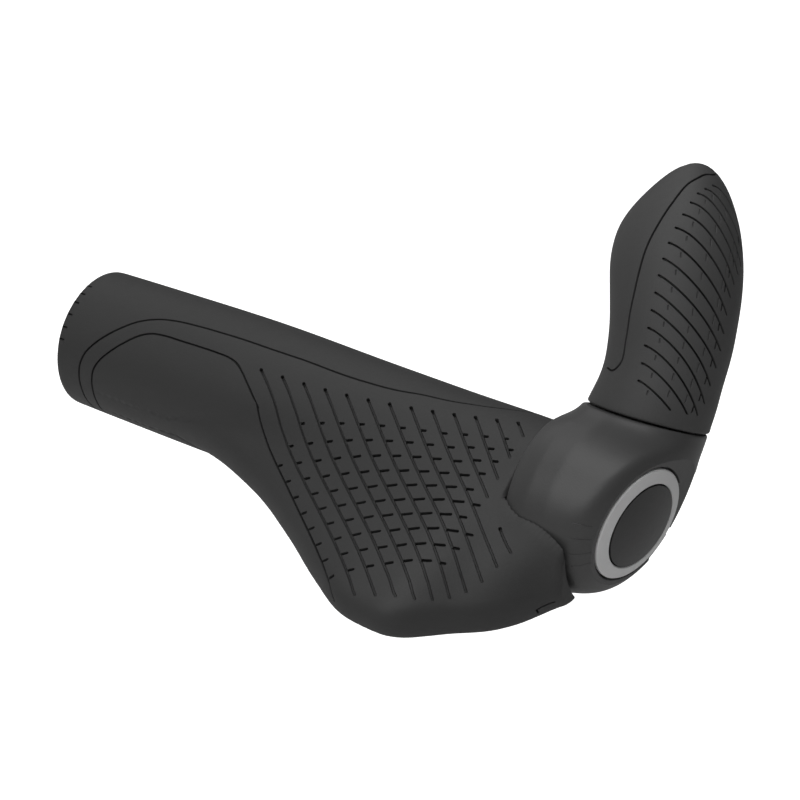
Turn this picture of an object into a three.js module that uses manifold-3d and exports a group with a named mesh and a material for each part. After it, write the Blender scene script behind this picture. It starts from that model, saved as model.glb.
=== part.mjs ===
// Handlebar grip with a palm wing and a short clamped bar end, right-hand side.
// Millimetres. X runs along the handlebar, outboard; Y is forward; Z is up.
// The origin is on the handlebar's axis, in the plane of the grip's inner end.
import * as THREE from 'three';
import { mergeVertices } from 'three/addons/utils/BufferGeometryUtils.js';
import Module from 'manifold-3d';

// Facets round a turned piece, and round a small one
const roundFacets = 28;
const smallFacets = 16;

// Handlebar and fits
const barDiameter = 22.2;
const slideFit = 0.05;
const fit = 0.3;

// Core tube inside the rubber
const coreWall = 1.85;
const endWall = 3;
const coreInset = 8.5;
const coreSlotCount = 3;
const coreSlotWidth = 2;
const coreSlotLength = 12;

// Rubber grip
const gripLength = 124;
const wingOverhang = 16.4;
const barrelRadius = 16.2;
const lipStep = 0.1;
const wingReach = 47;
const wingDrop = 12;
const wingEdge = 5;
const topHollow = 1.2;
const underHollow = 3;
const rimRound = 1.2;

// Grooves moulded into the rubber
const grooveWidth = 0.7;
const grooveDepth = 0.8;
const grooveCount = 13;
const groovePitch = 5.95;
const fieldLength = 73.7;
const grooveRun = 50.2;
const dashRows = 10;
const dashWidth = 0.9;
const dashLength = 2.4;
const shortestDash = 2;
const lineWidth = 0.5;
const lineDepth = 0.4;
const notchLength = 1.1;

// Collar that clamps round the core, outboard of the rubber
const collarRadius = 18.8;
const collarWidth = 22.7;
const neckShare = 0.92;

// Arm of the bar end: its seam with the rubber sleeve, its lean and its length
const seamReach = 23.7;
const seamLean = 33.5;
const seamOutboard = 12.9;
const armTilt = 64;
const armLength = 55.2;
const armWidth = 27.4;
const armDepth = 24.8;
const seamGap = 0.4;
const lipRound = 0.5;
const sleeveWall = 4.6;
const stalkLength = 43;
const stalkRoot = 3;

// Clamp in front of the bore, turned down about the bar
const clampTurn = -32;
const boltDiameter = 5;
const boltLength = 12;
const slitWidth = 1.6;
const lugThick = 3;
const clampWeb = 2;
const bossWall = 3;
const washerThick = 0.9;

// End cap and its ring
const capTiltRear = 10.4;
const capTiltDown = 7.5;
const capRadius = 14.2;
const capThick = 3;
const capDome = 1.9;
const ringOuter = 12.9;
const ringWidth = 3;
const ringThick = 0.9;
const flangeDrop = 1.6;
const rimDrop = 0.2;
const notchDrop = 1.8;

// Angle marks on the collar beside the cap
const markCount = 4;
const firstMark = 157;
const markInset = 5.8;
const markLength = 3.4;
const markPitch = 10;

// Sizes that follow from the ones above
const barRadius = barDiameter / 2 + slideFit;
const coreRadius = barRadius + coreWall;
const boreRadius = coreRadius + fit;
const collarStart = gripLength + fit;
const capX = gripLength + fit + collarWidth;
const coreEnd = capX - coreInset;
const lipRadius = collarRadius * neckShare - lipStep;
const toRadians = THREE.MathUtils.degToRad;

const wasm = await Module();
wasm.setup();

// Smooth curve through a few points that never overshoots them
function smoothCurve(points) {
  const last = points.length - 1;
  const slope = points.slice(1).map((p, i) => (p[1] - points[i][1]) / (p[0] - points[i][0]));
  const tangent = points.map((p, i) => {
    if (i === 0) return slope[0];
    if (i === last) return slope[last - 1];
    if (slope[i - 1] * slope[i] <= 0) return 0;
    return 2 * slope[i - 1] * slope[i] / (slope[i - 1] + slope[i]);
  });
  return (x) => {
    const at = THREE.MathUtils.clamp(x, points[0][0], points[last][0]);
    let i = 0;
    while (i < last - 1 && at > points[i + 1][0]) i += 1;
    const width = points[i + 1][0] - points[i][0];
    const t = (at - points[i][0]) / width;
    const rest = 1 - t;
    return (1 + 2 * t) * rest * rest * points[i][1] + t * rest * rest * width * tangent[i]
      + t * t * (3 - 2 * t) * points[i + 1][1] - t * t * rest * width * tangent[i + 1];
  };
}

// Closed mesh from equal rings of points, with a flat face over each end ring
function skin(rings) {
  const count = rings[0].length;
  const positions = rings.flat().flatMap((p) => [p.x, p.y, p.z]);
  const index = [];
  for (let i = 0; i + 1 < rings.length; i += 1) {
    for (let j = 0; j < count; j += 1) {
      const a = i * count + j;
      const b = i * count + (j + 1) % count;
      index.push(a, b, b + count, a, b + count, a + count);
    }
  }
  const ends = [[rings[0], 0, true], [rings.at(-1), (rings.length - 1) * count, false]];
  for (const [ring, start, flip] of ends) {
    const centre = ring.reduce((sum, p) => sum.add(p), new THREE.Vector3()).divideScalar(count);
    const middle = positions.length / 3;
    positions.push(centre.x, centre.y, centre.z);
    for (let j = 0; j < count; j += 1) {
      const a = start + j;
      const b = start + (j + 1) % count;
      index.push(...(flip ? [middle, b, a] : [middle, a, b]));
    }
  }
  const geometry = new THREE.BufferGeometry();
  geometry.setAttribute('position', new THREE.Float32BufferAttribute(positions, 3));
  geometry.setIndex(index);
  return geometry;
}

function enclosedVolume(positions, index) {
  const corner = [0, 1, 2].map(() => new THREE.Vector3());
  let volume = 0;
  for (let i = 0; i < index.length; i += 3) {
    corner.forEach((p, j) => p.fromArray(positions, 3 * index[i + j]));
    volume += corner[0].dot(corner[1].cross(corner[2])) / 6;
  }
  return volume;
}

// Solid for joining and cutting, with its faces turned outward
function solid(geometry) {
  geometry.deleteAttribute('normal');
  geometry.deleteAttribute('uv');
  const merged = mergeVertices(geometry, 1e-4);
  const vertProperties = new Float32Array(merged.getAttribute('position').array);
  const triVerts = [];
  const index = merged.getIndex().array;
  const inward = enclosedVolume(vertProperties, index) < 0;
  for (let i = 0; i < index.length; i += 3) {
    const [a, b, c] = [index[i], index[i + 1], index[i + 2]];
    if (a !== b && b !== c && a !== c) triVerts.push(...(inward ? [a, c, b] : [a, b, c]));
  }
  return new wasm.Manifold(new wasm.Mesh({
    numProp: 3, vertProperties, triVerts: new Uint32Array(triVerts),
  }));
}

function toGeometry(body) {
  const mesh = body.getMesh();
  const geometry = new THREE.BufferGeometry();
  geometry.setAttribute('position', new THREE.Float32BufferAttribute(mesh.vertProperties, 3));
  geometry.setIndex(Array.from(mesh.triVerts));
  geometry.computeVertexNormals();
  return geometry;
}

// Turned body about the X axis, from a profile of [x, radius] pairs
function turned(profile, facets = roundFacets) {
  const points = profile.map(([x, radius]) => new THREE.Vector2(radius, x));
  return new THREE.LatheGeometry(points, facets).rotateZ(-Math.PI / 2);
}

// Round rod along X between two places
function rod(low, high, radius) {
  return turned([[low, 0], [low, radius], [high, radius], [high, 0]], smallFacets);
}

// Block given by its lowest and highest corners
function block(low, high) {
  const size = high.map((value, i) => value - low[i]);
  return new THREE.BoxGeometry(...size).translate(...high.map((value, i) => (value + low[i]) / 2));
}

// Short channel cutter that follows points on a surface and their normals
function channel(path, width, depth) {
  const proud = 1;
  const rings = path.map(({ point, normal }, i) => {
    const before = path[Math.max(i - 1, 0)].point;
    const after = path[Math.min(i + 1, path.length - 1)].point;
    const side = after.clone().sub(before).cross(normal).setLength(width / 2);
    return [[1, proud], [-1, proud], [-1, -depth], [1, -depth]].map(([across, up]) => (
      point.clone().addScaledVector(side, across).addScaledVector(normal, up)));
  });
  return solid(skin(rings));
}

// Rubber grip: along its length a round barrel, and a wing behind it that grows toward the
// outboard end. Stations count 0 to 1 along the grip and 1 to 2 past the lip, where the barrel's
// circle stays inside the collar.
const underCollar = (share) => collarRadius * share / barrelRadius;
const station = (x) => (x <= gripLength ? x / gripLength : 1 + (x - gripLength) / wingOverhang);
const barrel = smoothCurve([[0, 1], [0.1, 1.012], [0.36, 1.025], [0.645, 0.969], [0.855, 0.945],
  [0.935, 0.975], [1, lipRadius / barrelRadius], [1.49, underCollar(0.936)], [1.73, underCollar(0.952)],
  [2, underCollar(0.965)]]);
const reachShare = smoothCurve([[0, 0], [0.21, 0.01], [0.32, 0.033], [0.484, 0.205], [0.629, 0.535],
  [0.742, 0.82], [0.839, 0.987], [0.919, 0.984], [0.968, 0.86], [1, 0.724], [1.244, 0.617], [1.488, 0.48],
  [1.732, 0.302], [1.854, 0.198], [2, 0.123]]);
const dropShare = smoothCurve([[0, 0], [0.21, 0.067], [0.363, 0.33], [0.524, 0.667], [0.726, 0.917],
  [0.887, 1], [1.244, 1], [1.488, 0.98], [1.732, 0.87], [1.854, 0.78], [2, 0.65]]);
const edgeShare = smoothCurve([[0, 1], [0.21, 0.91], [0.32, 0.536], [0.484, 0.179], [0.645, 0.036],
  [0.847, 0], [2, 0]]);
const topShare = smoothCurve([[0, 0], [0.32, 0.25], [0.645, 0.83], [0.9, 1], [1, 0.75], [1.5, 0.3],
  [1.73, 0], [2, 0]]);
const underShare = smoothCurve([[0, 0], [0.32, 0.17], [0.645, 1], [1, 1], [2, 0.3]]);

// Outline of the grip in the YZ plane at x: from the front, over the top, to the wing's rear
// edge, and back underneath. It is the barrel's circle and the edge's circle with hollow sides.
function gripOutline(x, inset = 0) {
  const at = station(x);
  const round = barrelRadius * barrel(at);
  const reach = barrelRadius + (wingReach - barrelRadius) * reachShare(at);
  const ownEdge = Math.min(wingEdge + (barrelRadius - wingEdge) * edgeShare(at), round * 0.999);
  const centre = new THREE.Vector2(-Math.max(reach - ownEdge, 0.01), -wingDrop * dropShare(at));
  const run = centre.length();
  const edge = Math.max(ownEdge, round - run * 0.98);
  const along = centre.clone().divideScalar(run);
  const lean = THREE.MathUtils.clamp((round - edge) / run, -0.999, 0.999);
  const square = Math.sqrt(1 - lean * lean);
  const tilted = (turn) => new THREE.Vector2(
    lean * along.x + turn * square * along.y,
    lean * along.y - turn * square * along.x,
  );
  const topNormal = tilted(1);
  const underNormal = tilted(-1);
  const topAngle = topNormal.angle();
  const underAngle = underNormal.angle();
  const steps = 16;
  const arc = (middle, radius, from, to) => Array.from({ length: steps + 1 }, (_, i) => {
    const angle = from + (to - from) * i / steps;
    return new THREE.Vector2(middle.x + radius * Math.cos(angle), middle.y + radius * Math.sin(angle));
  });
  const side = (from, to, normal, hollow) => Array.from({ length: steps - 1 }, (_, i) => {
    const t = (i + 1) / steps;
    return from.clone().lerp(to, t).addScaledVector(normal, -hollow * Math.sin(Math.PI * t) ** 2);
  });
  const zero = new THREE.Vector2();
  const barrelArc = (from, to) => arc(zero, round - inset, from, to);
  const edgeArc = (from, to) => arc(centre, edge - inset, from, to);
  const joined = (first, second, normal, hollow) => (
    [...first, ...side(first.at(-1), second[0], normal, hollow), ...second]);
  return {
    upper: joined(barrelArc(0, topAngle), edgeArc(topAngle, Math.PI), topNormal,
      topHollow * topShare(at)),
    lower: joined(edgeArc(Math.PI, underAngle), barrelArc(underAngle, 2 * Math.PI), underNormal,
      underHollow * underShare(at)),
  };
}

// Point on the grip's surface at x and an angle about the bar, from the front over the top
function gripPoint(x, degrees, inset = 0) {
  const { upper, lower } = gripOutline(x, inset);
  const line = [...upper, ...lower.slice(1)];
  const ray = new THREE.Vector2(Math.cos(toRadians(degrees)), Math.sin(toRadians(degrees)));
  for (let i = 1; i < line.length; i += 1) {
    const before = ray.cross(line[i - 1]);
    const after = ray.cross(line[i]);
    if (before <= 0 && after > 0 && line[i].dot(ray) > 0) {
      const hit = line[i - 1].clone().lerp(line[i], before / (before - after));
      return new THREE.Vector3(x, hit.x, hit.y);
    }
  }
  return new THREE.Vector3(x, ...line[0].toArray());
}

// Ring of points at x, closer together round the wing's rear edge
const ringAngles = [];
for (let degrees = 0; degrees < 170; degrees += 13) ringAngles.push(degrees);
for (let degrees = 173; degrees < 205; degrees += 3.6) ringAngles.push(degrees);
for (let degrees = 208; degrees < 240; degrees += 8) ringAngles.push(degrees);
for (let degrees = 242; degrees < 355; degrees += 13) ringAngles.push(degrees);
const gripRing = (x, inset = 0) => ringAngles.map((degrees) => gripPoint(x, degrees, inset));

// Angle about the bar at which the grip's top lies over the plan point (x, y)
function topAngleAt(x, y) {
  const { upper } = gripOutline(x);
  let i = 1;
  while (i < upper.length - 1 && upper[i].x > y) i += 1;
  const t = THREE.MathUtils.clamp((y - upper[i - 1].x) / (upper[i].x - upper[i - 1].x), 0, 1);
  return THREE.MathUtils.radToDeg(upper[i - 1].clone().lerp(upper[i], t).angle());
}

function gripSample([x, degrees]) {
  const ahead = gripPoint(x + 0.5, degrees).sub(gripPoint(x - 0.5, degrees));
  const across = gripPoint(x, degrees + 1).sub(gripPoint(x, degrees - 1));
  return { point: gripPoint(x, degrees), normal: across.cross(ahead).negate().normalize() };
}

// Straight run on the grip's top between two plan points, bowed sideways in its middle
function topRun(from, to, bow = 0) {
  const steps = Math.max(1, Math.round(from.distanceTo(to) / 9));
  return Array.from({ length: steps + 1 }, (_, i) => {
    const t = i / steps;
    const plan = from.clone().lerp(to, t);
    return [plan.x, topAngleAt(plan.x, plan.y + bow * 4 * t * (1 - t))];
  });
}

// The long grooves run from the barrel's top, outboard and to the rear, side by side
const grooveStart = (i) => new THREE.Vector2(
  gripLength - fieldLength + groovePitch * i * (1 - 0.0101 * i),
  -barrelRadius * (0.636 - 0.0034 * i * i),
);
const grooveSlope = -0.69;
const lipMargin = 3;
function grooveEnd(i) {
  const start = grooveStart(i);
  const room = gripLength - lipMargin - start.x;
  const run = i < 10 ? grooveRun * (1 - 0.022 * (i - 1) - 0.00328 * (i - 1) ** 2) : room;
  const slope = i < 10 ? grooveSlope : grooveSlope - 0.07 * (i - 9);
  return new THREE.Vector2(start.x + run, start.y + slope * run);
}
function grooveBow(i) {
  const run = grooveEnd(i).x - grooveStart(i).x;
  return (1.8 - 0.32 * i) * Math.min(1, run / (grooveRun * 0.62)) ** 2;
}

// Rows of dashes start at the grooves and point outboard, longest in the middle of the field
const rowSlope = (row) => 0.205 + 0.0125 * row + 0.0024 * row * row;
const rowHeight = (row) => -barrelRadius * (0.602 + 0.1605 * row + 0.0069 * row * row);
const rowAnchor = gripLength - fieldLength * 0.327;
function dashSpots() {
  const spots = [];
  for (let i = 0; i <= grooveCount; i += 1) {
    const start = grooveStart(i);
    const end = grooveEnd(i);
    const lastShare = i < 10 ? 0.94 : 0.88;
    for (let row = Math.max(0, 2 - i); row < dashRows; row += 1) {
      const rise = (end.y - start.y) / (end.x - start.x);
      const meet = (rowHeight(row) - rowSlope(row) * rowAnchor - start.y + rise * start.x)
        / (rise - rowSlope(row));
      const share = (meet - start.x) / (end.x - start.x);
      if (share < 0.04 || share > lastShare || meet > gripLength - lipMargin) continue;
      const y = start.y + rise * (meet - start.x) + grooveBow(i) * 4 * share * (1 - share);
      const byRow = 1 - 0.58 * ((row - 5.5) / 5.5) ** 2;
      const byGroove = 1 - 0.6 * ((i - 6.8) / 6.8) ** 2;
      const long = dashLength * byRow * byGroove;
      if (long < shortestDash) continue;
      const run = long + grooveWidth / 2;
      spots.push([new THREE.Vector2(meet, y), new THREE.Vector2(meet + run, y + rowSlope(row) * run)]);
    }
  }
  return spots;
}

// Two fine lines edge the palm area: they come from below at the inner end, turn over the
// barrel and run outboard. Each is a list of [x, angle] in shares of the length and degrees.
const outerLine = [[0.9, 262], [0.45, 262], [0.1, 256], [0.045, 240], [0.042, 226], [0.047, 210],
  [0.05, 194], [0.053, 178], [0.06, 168], [0.075, 159], [0.091, 150], [0.113, 140], [0.149, 123],
  [0.17, 114], [0.2, 109.5], [0.28, 107.5], [0.48, 104], [0.68, 103.5], [0.76, 99], [0.836, 92.6],
  [0.888, 84], [0.92, 75], [0.943, 65], [0.96, 55], [0.975, 44]];
const innerLine = [[0.49, 216], [0.3, 236], [0.12, 240], [0.077, 226], [0.08, 202], [0.085, 180],
  [0.092, 170], [0.108, 160.5], [0.132, 150.5], [0.153, 141], [0.169, 133], [0.185, 127.6],
  [0.202, 124.8], [0.24, 126], [0.31, 124.8], [0.373, 126], [0.4, 128.5]];
const rimAngles = [105, 114, 123, 134, 145, 155];

function zoneLine(points) {
  return channel(points.map(([share, degrees]) => gripSample([share * gripLength, degrees])),
    lineWidth, lineDepth);
}

function makeGrip() {
  const stations = [];
  for (const turn of [0, 45, 90]) {
    const angle = toRadians(turn);
    stations.push([rimRound * (1 - Math.sin(angle)), rimRound * (1 - Math.cos(angle))]);
  }
  stations.reverse();
  const bodySteps = 13;
  for (let i = 1; i <= bodySteps; i += 1) {
    stations.push([rimRound + (gripLength - rimRound) * i / bodySteps, 0]);
  }
  for (let i = 1; i <= 4; i += 1) stations.push([gripLength + wingOverhang * i / 4, 0]);
  let grip = solid(skin(stations.map(([x, inset]) => gripRing(x, inset))));
  const coreSeat = endWall - fit;
  const bore = turned([[-1, 0], [-1, barRadius], [coreSeat, barRadius], [coreSeat, boreRadius],
    [gripLength + 1, boreRadius], [gripLength + 1, 0]]);
  grip = grip.subtract(solid(bore));
  const room = [[gripLength, 0]];
  const roomSteps = 8;
  const roomEnd = gripLength + wingOverhang + 2;
  for (let i = 0; i <= roomSteps; i += 1) {
    const x = gripLength + (roomEnd - gripLength) * i / roomSteps;
    const widest = x > collarStart + collarWidth * collarFull;
    room.push([x, (widest ? collarRadius : collarProfile(x)) + fit]);
  }
  room.push([roomEnd, 0]);
  grip = grip.subtract(solid(turned(room)));
  const cuts = [zoneLine(outerLine), zoneLine(innerLine)];
  for (let i = 0; i <= grooveCount; i += 1) {
    const path = topRun(grooveStart(i), grooveEnd(i), grooveBow(i)).map(gripSample);
    cuts.push(channel(path, grooveWidth, grooveDepth));
  }
  for (const [from, to] of dashSpots()) {
    cuts.push(channel(topRun(from, to).map(gripSample), dashWidth, grooveDepth));
  }
  for (const degrees of rimAngles) {
    const path = [rimRound, rimRound + notchLength].map((x) => gripSample([x, degrees]));
    cuts.push(channel(path, lineWidth, lineDepth));
  }
  grip = grip.subtract(wasm.Manifold.union(cuts));
  return toGeometry(grip);
}

// Core: a slotted plastic tube that the rubber is moulded on and the collar clamps round
function makeCore() {
  let core = solid(turned([[endWall, barRadius], [endWall, coreRadius], [coreEnd, coreRadius],
    [coreEnd, barRadius], [endWall, barRadius]]));
  for (let i = 0; i < coreSlotCount; i += 1) {
    const slot = block([coreEnd - coreSlotLength, 0, -coreSlotWidth / 2],
      [coreEnd + 1, coreRadius + 1, coreSlotWidth / 2]);
    slot.rotateX(toRadians(90 + 360 * i / coreSlotCount));
    core = core.subtract(solid(slot));
  }
  return toGeometry(core);
}

// Radius of the collar along the bar: narrow at the lip, full in its first third, then closing
const collarFull = 0.25;
const collarShare = smoothCurve([[-0.3, 0.88], [0, neckShare], [0.12, 0.968], [collarFull, 1], [0.43, 1],
  [0.6, 0.968], [0.74, 0.935], [1, 0.87], [1.2, 0.8]]);
function collarProfile(x) {
  return collarRadius * collarShare((x - collarStart) / collarWidth);
}

// The collar's outer end rounds in to the cap. Its radius about the cap's axis, by the height
// over the cap's rim in shares of the collar's width.
const rimShare = smoothCurve([[-0.5, 1.36], [-0.35, 1.16], [-0.22, 1.06], [-0.13, 0.965], [-0.066, 0.87],
  [0, 0.745], [0.1, 0.5]]);

// Frame of the arm: its direction, its wide side along the bar and its deep side to the rear
const armWay = new THREE.Vector3(0, Math.cos(toRadians(armTilt)), Math.sin(toRadians(armTilt)));
const armSide = new THREE.Vector3(1, 0, 0);
const armRear = armSide.clone().cross(armWay);
const seamCentre = new THREE.Vector3(
  gripLength + seamOutboard,
  seamReach * Math.cos(toRadians(seamLean)),
  seamReach * Math.sin(toRadians(seamLean)),
);

// Shares of the arm's length against its sideways sway, half width and half depth
const armSway = smoothCurve([[0, 0], [0.145, 0.087], [0.29, 0.074], [0.436, -0.027], [0.58, -0.187],
  [0.727, -0.318], [0.8, -0.335], [0.94, -0.355], [1, -0.336]]);
const armLean = smoothCurve([[0, 0], [0.36, 0], [0.727, -0.08], [1, -0.24]]);
const armHalfWidth = smoothCurve([[0, 1], [0.145, 0.934], [0.29, 0.948], [0.436, 1.009], [0.58, 1.068],
  [0.727, 0.983], [0.8, 0.853], [0.873, 0.649], [0.94, 0.436], [0.98, 0.24], [1, 0.02]]);
const armHalfDepth = smoothCurve([[0, 1], [0.18, 0.95], [0.455, 0.984], [0.655, 0.984], [0.8, 0.84],
  [0.91, 0.613], [0.973, 0.37], [1, 0.02]]);

// Point on the arm at a share of its length and an angle from the outboard side to the rear
function armPoint(share, degrees, inset = 0) {
  const angle = toRadians(degrees);
  const across = Math.max(armWidth / 2 * armHalfWidth(share) - inset, 0.2);
  const back = Math.max(armDepth / 2 * armHalfDepth(share) - inset, 0.2);
  return seamCentre.clone()
    .addScaledVector(armWay, share * armLength)
    .addScaledVector(armSide, armWidth / 2 * armSway(share) + across * Math.cos(angle))
    .addScaledVector(armRear, armDepth / 2 * armLean(share) + back * Math.sin(angle));
}

function armSample([share, degrees]) {
  const ahead = armPoint(share + 0.005, degrees).sub(armPoint(share - 0.005, degrees));
  const across = armPoint(share, degrees + 1).sub(armPoint(share, degrees - 1));
  return { point: armPoint(share, degrees), normal: across.cross(ahead).normalize() };
}

function armRing(share, inset = 0, facets = 28) {
  return Array.from({ length: facets }, (_, i) => armPoint(share, 360 * i / facets, inset));
}

// Body inside the arm, inset from its surface. Before the seam it runs on with the seam's section.
function armCore(from, to, inset) {
  const stops = [from, Math.max(from, 0), armLength * 0.3, armLength * 0.6, to];
  const rings = stops.filter((stop, i) => i === 0 || stop > stops[i - 1]).map((stop) => (
    armRing(Math.max(stop, 0) / armLength, inset, smallFacets)
      .map((p) => p.addScaledVector(armWay, Math.min(stop, 0)))));
  return solid(skin(rings));
}

// Cap frame: its centre on the bar's axis and its outward direction, tipped to the rear and down
const capWay = new THREE.Vector3(1, -Math.tan(toRadians(capTiltRear)), -Math.tan(toRadians(capTiltDown)));
capWay.normalize();
const capTurn = new THREE.Quaternion().setFromUnitVectors(new THREE.Vector3(1, 0, 0), capWay);
const capCentre = new THREE.Vector3(capX, 0, 0);
const onCap = (geometry) => geometry.applyQuaternion(capTurn).translate(capX, 0, 0);

// Clamp frame: the boss lies in front of the bore and is turned down about the bar
const clampX = collarStart + collarWidth * 0.44;
const boltRadius = boltDiameter / 2;
const boltReach = boreRadius + clampWeb + boltRadius + fit;
const bossRadius = boltRadius + fit + bossWall;
const seatHeight = slitWidth / 2 + lugThick;
const bossHalf = seatHeight + bossWall;
const headRadius = boltDiameter * 0.85;
const nutWidth = boltDiameter * 1.6;
const nutThick = boltDiameter * 0.54;
const onClamp = (geometry) => geometry.rotateX(toRadians(clampTurn));
// Takes a piece drawn along X, stands it along the clamp's bolt and turns it with the clamp
const inClamp = (geometry) => onClamp(geometry.rotateY(-Math.PI / 2).translate(clampX, boltReach, 0));
const bossCentre = new THREE.Vector3(clampX, boltReach, 0)
  .applyAxisAngle(new THREE.Vector3(1, 0, 0), toRadians(clampTurn));
const bossWay = new THREE.Vector3(0, 0, 1)
  .applyAxisAngle(new THREE.Vector3(1, 0, 0), toRadians(clampTurn));

function smoothMin(a, b, width) {
  const h = Math.max(width - Math.abs(a - b), 0) / width;
  return Math.min(a, b) - h * h * width / 4;
}

// Below zero inside the shell: the collar, the curved root of the arm and the clamp boss, run
// together with soft valleys
const rootCurve = new THREE.QuadraticBezierCurve3(
  new THREE.Vector3(seamCentre.x - 1, 0, 0),
  seamCentre.clone().addScaledVector(armWay, -0.5 * seamReach),
  seamCentre.clone().addScaledVector(armWay, 0.15 * seamReach),
);
const rootSteps = Array.from({ length: 25 }, (_, i) => ({
  middle: rootCurve.getPoint(i / 24), way: rootCurve.getTangent(i / 24),
}));
function rootField(p) {
  let best = Infinity;
  for (const { middle, way } of rootSteps) {
    const offset = p.clone().sub(middle);
    const along = offset.dot(way);
    const across = offset.x;
    const back = offset.dot(armSide.clone().cross(way));
    const size = Math.hypot(across / (armWidth / 2), back / (armDepth / 2), along / (armDepth / 2));
    best = Math.min(best, (size - 1) * armDepth / 2);
  }
  return best;
}
function bossField(p) {
  const offset = p.clone().sub(bossCentre);
  const along = THREE.MathUtils.clamp(offset.dot(bossWay), -bossHalf, bossHalf);
  return offset.addScaledVector(bossWay, -along).length() - bossRadius;
}
function shellField(p) {
  const offset = p.clone().sub(capCentre);
  const height = offset.dot(capWay);
  const fromCapAxis = offset.addScaledVector(capWay, -height).length();
  const side = Math.hypot(p.y, p.z) - collarProfile(p.x);
  const end = fromCapAxis - collarRadius * rimShare(height / collarWidth);
  const collar = Math.max(-smoothMin(-side, -end, 2), gripLength - 2 - p.x, height - 3);
  return smoothMin(smoothMin(collar, rootField(p), 7), bossField(p), 4);
}

// Surface found outward from a point inside the collar, along rays over the whole sphere
function makeShellBody() {
  const middle = new THREE.Vector3(collarStart + collarWidth * 0.5, seamReach * 0.15, seamReach * 0.1);
  const rows = 16;
  const facets = 28;
  const rings = Array.from({ length: rows - 1 }, (_, i) => {
    const polar = Math.PI * (i + 1) / rows;
    return Array.from({ length: facets }, (__, j) => {
      const turn = 2 * Math.PI * j / facets;
      const way = new THREE.Vector3(-Math.cos(polar), Math.sin(polar) * Math.cos(turn),
        Math.sin(polar) * Math.sin(turn));
      let near = 0;
      while (shellField(middle.clone().addScaledVector(way, near + 1)) < 0) near += 1;
      let far = near + 1;
      for (let k = 0; k < 20; k += 1) {
        const half = (near + far) / 2;
        if (shellField(middle.clone().addScaledVector(way, half)) < 0) near = half;
        else far = half;
      }
      return middle.clone().addScaledVector(way, near);
    });
  });
  return solid(skin(rings));
}

// Point on the collar's surface at x and an angle about the bar
function shellSample(x, degrees) {
  const way = new THREE.Vector3(0, Math.cos(toRadians(degrees)), Math.sin(toRadians(degrees)));
  let near = boreRadius;
  let far = 2 * collarRadius;
  for (let k = 0; k < 20; k += 1) {
    const half = (near + far) / 2;
    if (shellField(new THREE.Vector3(x, 0, 0).addScaledVector(way, half)) < 0) near = half;
    else far = half;
  }
  return { point: new THREE.Vector3(x, 0, 0).addScaledVector(way, near), normal: way };
}

function makeShell() {
  const far = 80;
  let shell = makeShellBody();
  shell = shell.subtract(solid(block([gripLength - far, -far, -far], [collarStart, far, far])));
  shell = shell.subtract(solid(onCap(block([-rimDrop, -far, -far], [far, far, far]))));
  const notch = block([-notchDrop, ringOuter * 0.5, -far], [far, far, ringOuter * 0.4]);
  shell = shell.subtract(solid(onCap(notch)));
  const armFrame = new THREE.Matrix4().makeBasis(armSide, armRear.clone().negate(), armWay)
    .setPosition(seamCentre);
  shell = shell.subtract(solid(block([-far, -far, 0], [far, far, far]).applyMatrix4(armFrame)));
  shell = shell.add(armCore(-stalkRoot, stalkLength, sleeveWall + fit));
  shell = shell.subtract(solid(turned([[gripLength - 1, 0], [gripLength - 1, boreRadius],
    [coreEnd + 1, boreRadius], [capX - capThick, boreRadius - 1], [capX - capThick, 0]])));
  const seat = turned([[-2 * capThick, 0], [-2 * capThick, boreRadius - 1],
    [-capThick - fit, boreRadius - 1], [-capThick - fit, capRadius + fit],
    [fit - flangeDrop, capRadius + fit], [fit - flangeDrop, ringOuter + fit],
    [capThick, ringOuter + fit + 1], [capThick, 0]]);
  shell = shell.subtract(solid(onCap(seat)));
  const slit = block([gripLength - 1, boreRadius - 2, -slitWidth / 2],
    [capX + 5, boltReach + bossRadius + 6, slitWidth / 2]);
  shell = shell.subtract(solid(onClamp(slit)));
  const cutEnd = bossHalf + bossRadius;
  shell = shell.subtract(solid(inClamp(rod(-seatHeight - 1, seatHeight + 1, boltRadius + fit))));
  shell = shell.subtract(solid(inClamp(rod(-cutEnd, -seatHeight, headRadius + 2 * fit))));
  const pocket = nutWidth / 2 + fit;
  const nutRoom = block([seatHeight, -pocket, -pocket], [cutEnd, pocket, pocket]);
  shell = shell.subtract(solid(inClamp(nutRoom)));
  for (let i = 0; i < markCount; i += 1) {
    const degrees = firstMark + markPitch * i;
    const path = [0, markLength].map((along) => shellSample(capX - markInset + along, degrees));
    shell = shell.subtract(channel(path, lineWidth, lineDepth));
  }
  return toGeometry(shell);
}

// Sleeve: rubber over the stalk, closed at its tip. Its curved grooves start beside a fine line
// at the rear and sweep outboard and down the arm.
const sleeveGrooves = 15;
const grooveRise = 0.0667;
const grooveLead = smoothCurve([[0, 91.5], [2, 93], [5, 88], [8, 80.5], [10, 72.8], [12, 60], [13, 49],
  [14, 33]]);
const grooveHigh = smoothCurve([[0, 0.158], [8, 0.158 + 8 * grooveRise], [10, 0.802], [12, 0.887],
  [14, 0.93]]);
function sleeveGroove(i) {
  const path = [];
  const steps = 3;
  const sweep = Math.min(74, grooveLead(i) + 8);
  for (let k = 0; k <= steps; k += 1) {
    const turn = sweep * k / steps;
    const share = grooveHigh(i) - 0.219 * (turn / 70) ** 1.31;
    if (share > 0.07) path.push([share, grooveLead(i) - turn]);
  }
  return channel(path.map(armSample), grooveWidth, grooveDepth);
}
const sleeveLine = [[0.156, 134], [0.156, 121], [0.19, 113.5], [0.285, 111.8], [0.379, 109.6],
  [0.458, 105.7], [0.551, 101.2], [0.645, 97.5], [0.727, 93.6], [0.822, 88.7], [0.908, 79.4],
  [0.95, 60], [0.97, 20], [0.973, -23], [0.94, -60], [0.85, -75], [0.7, -82], [0.4, -88], [0.16, -92]];
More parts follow.
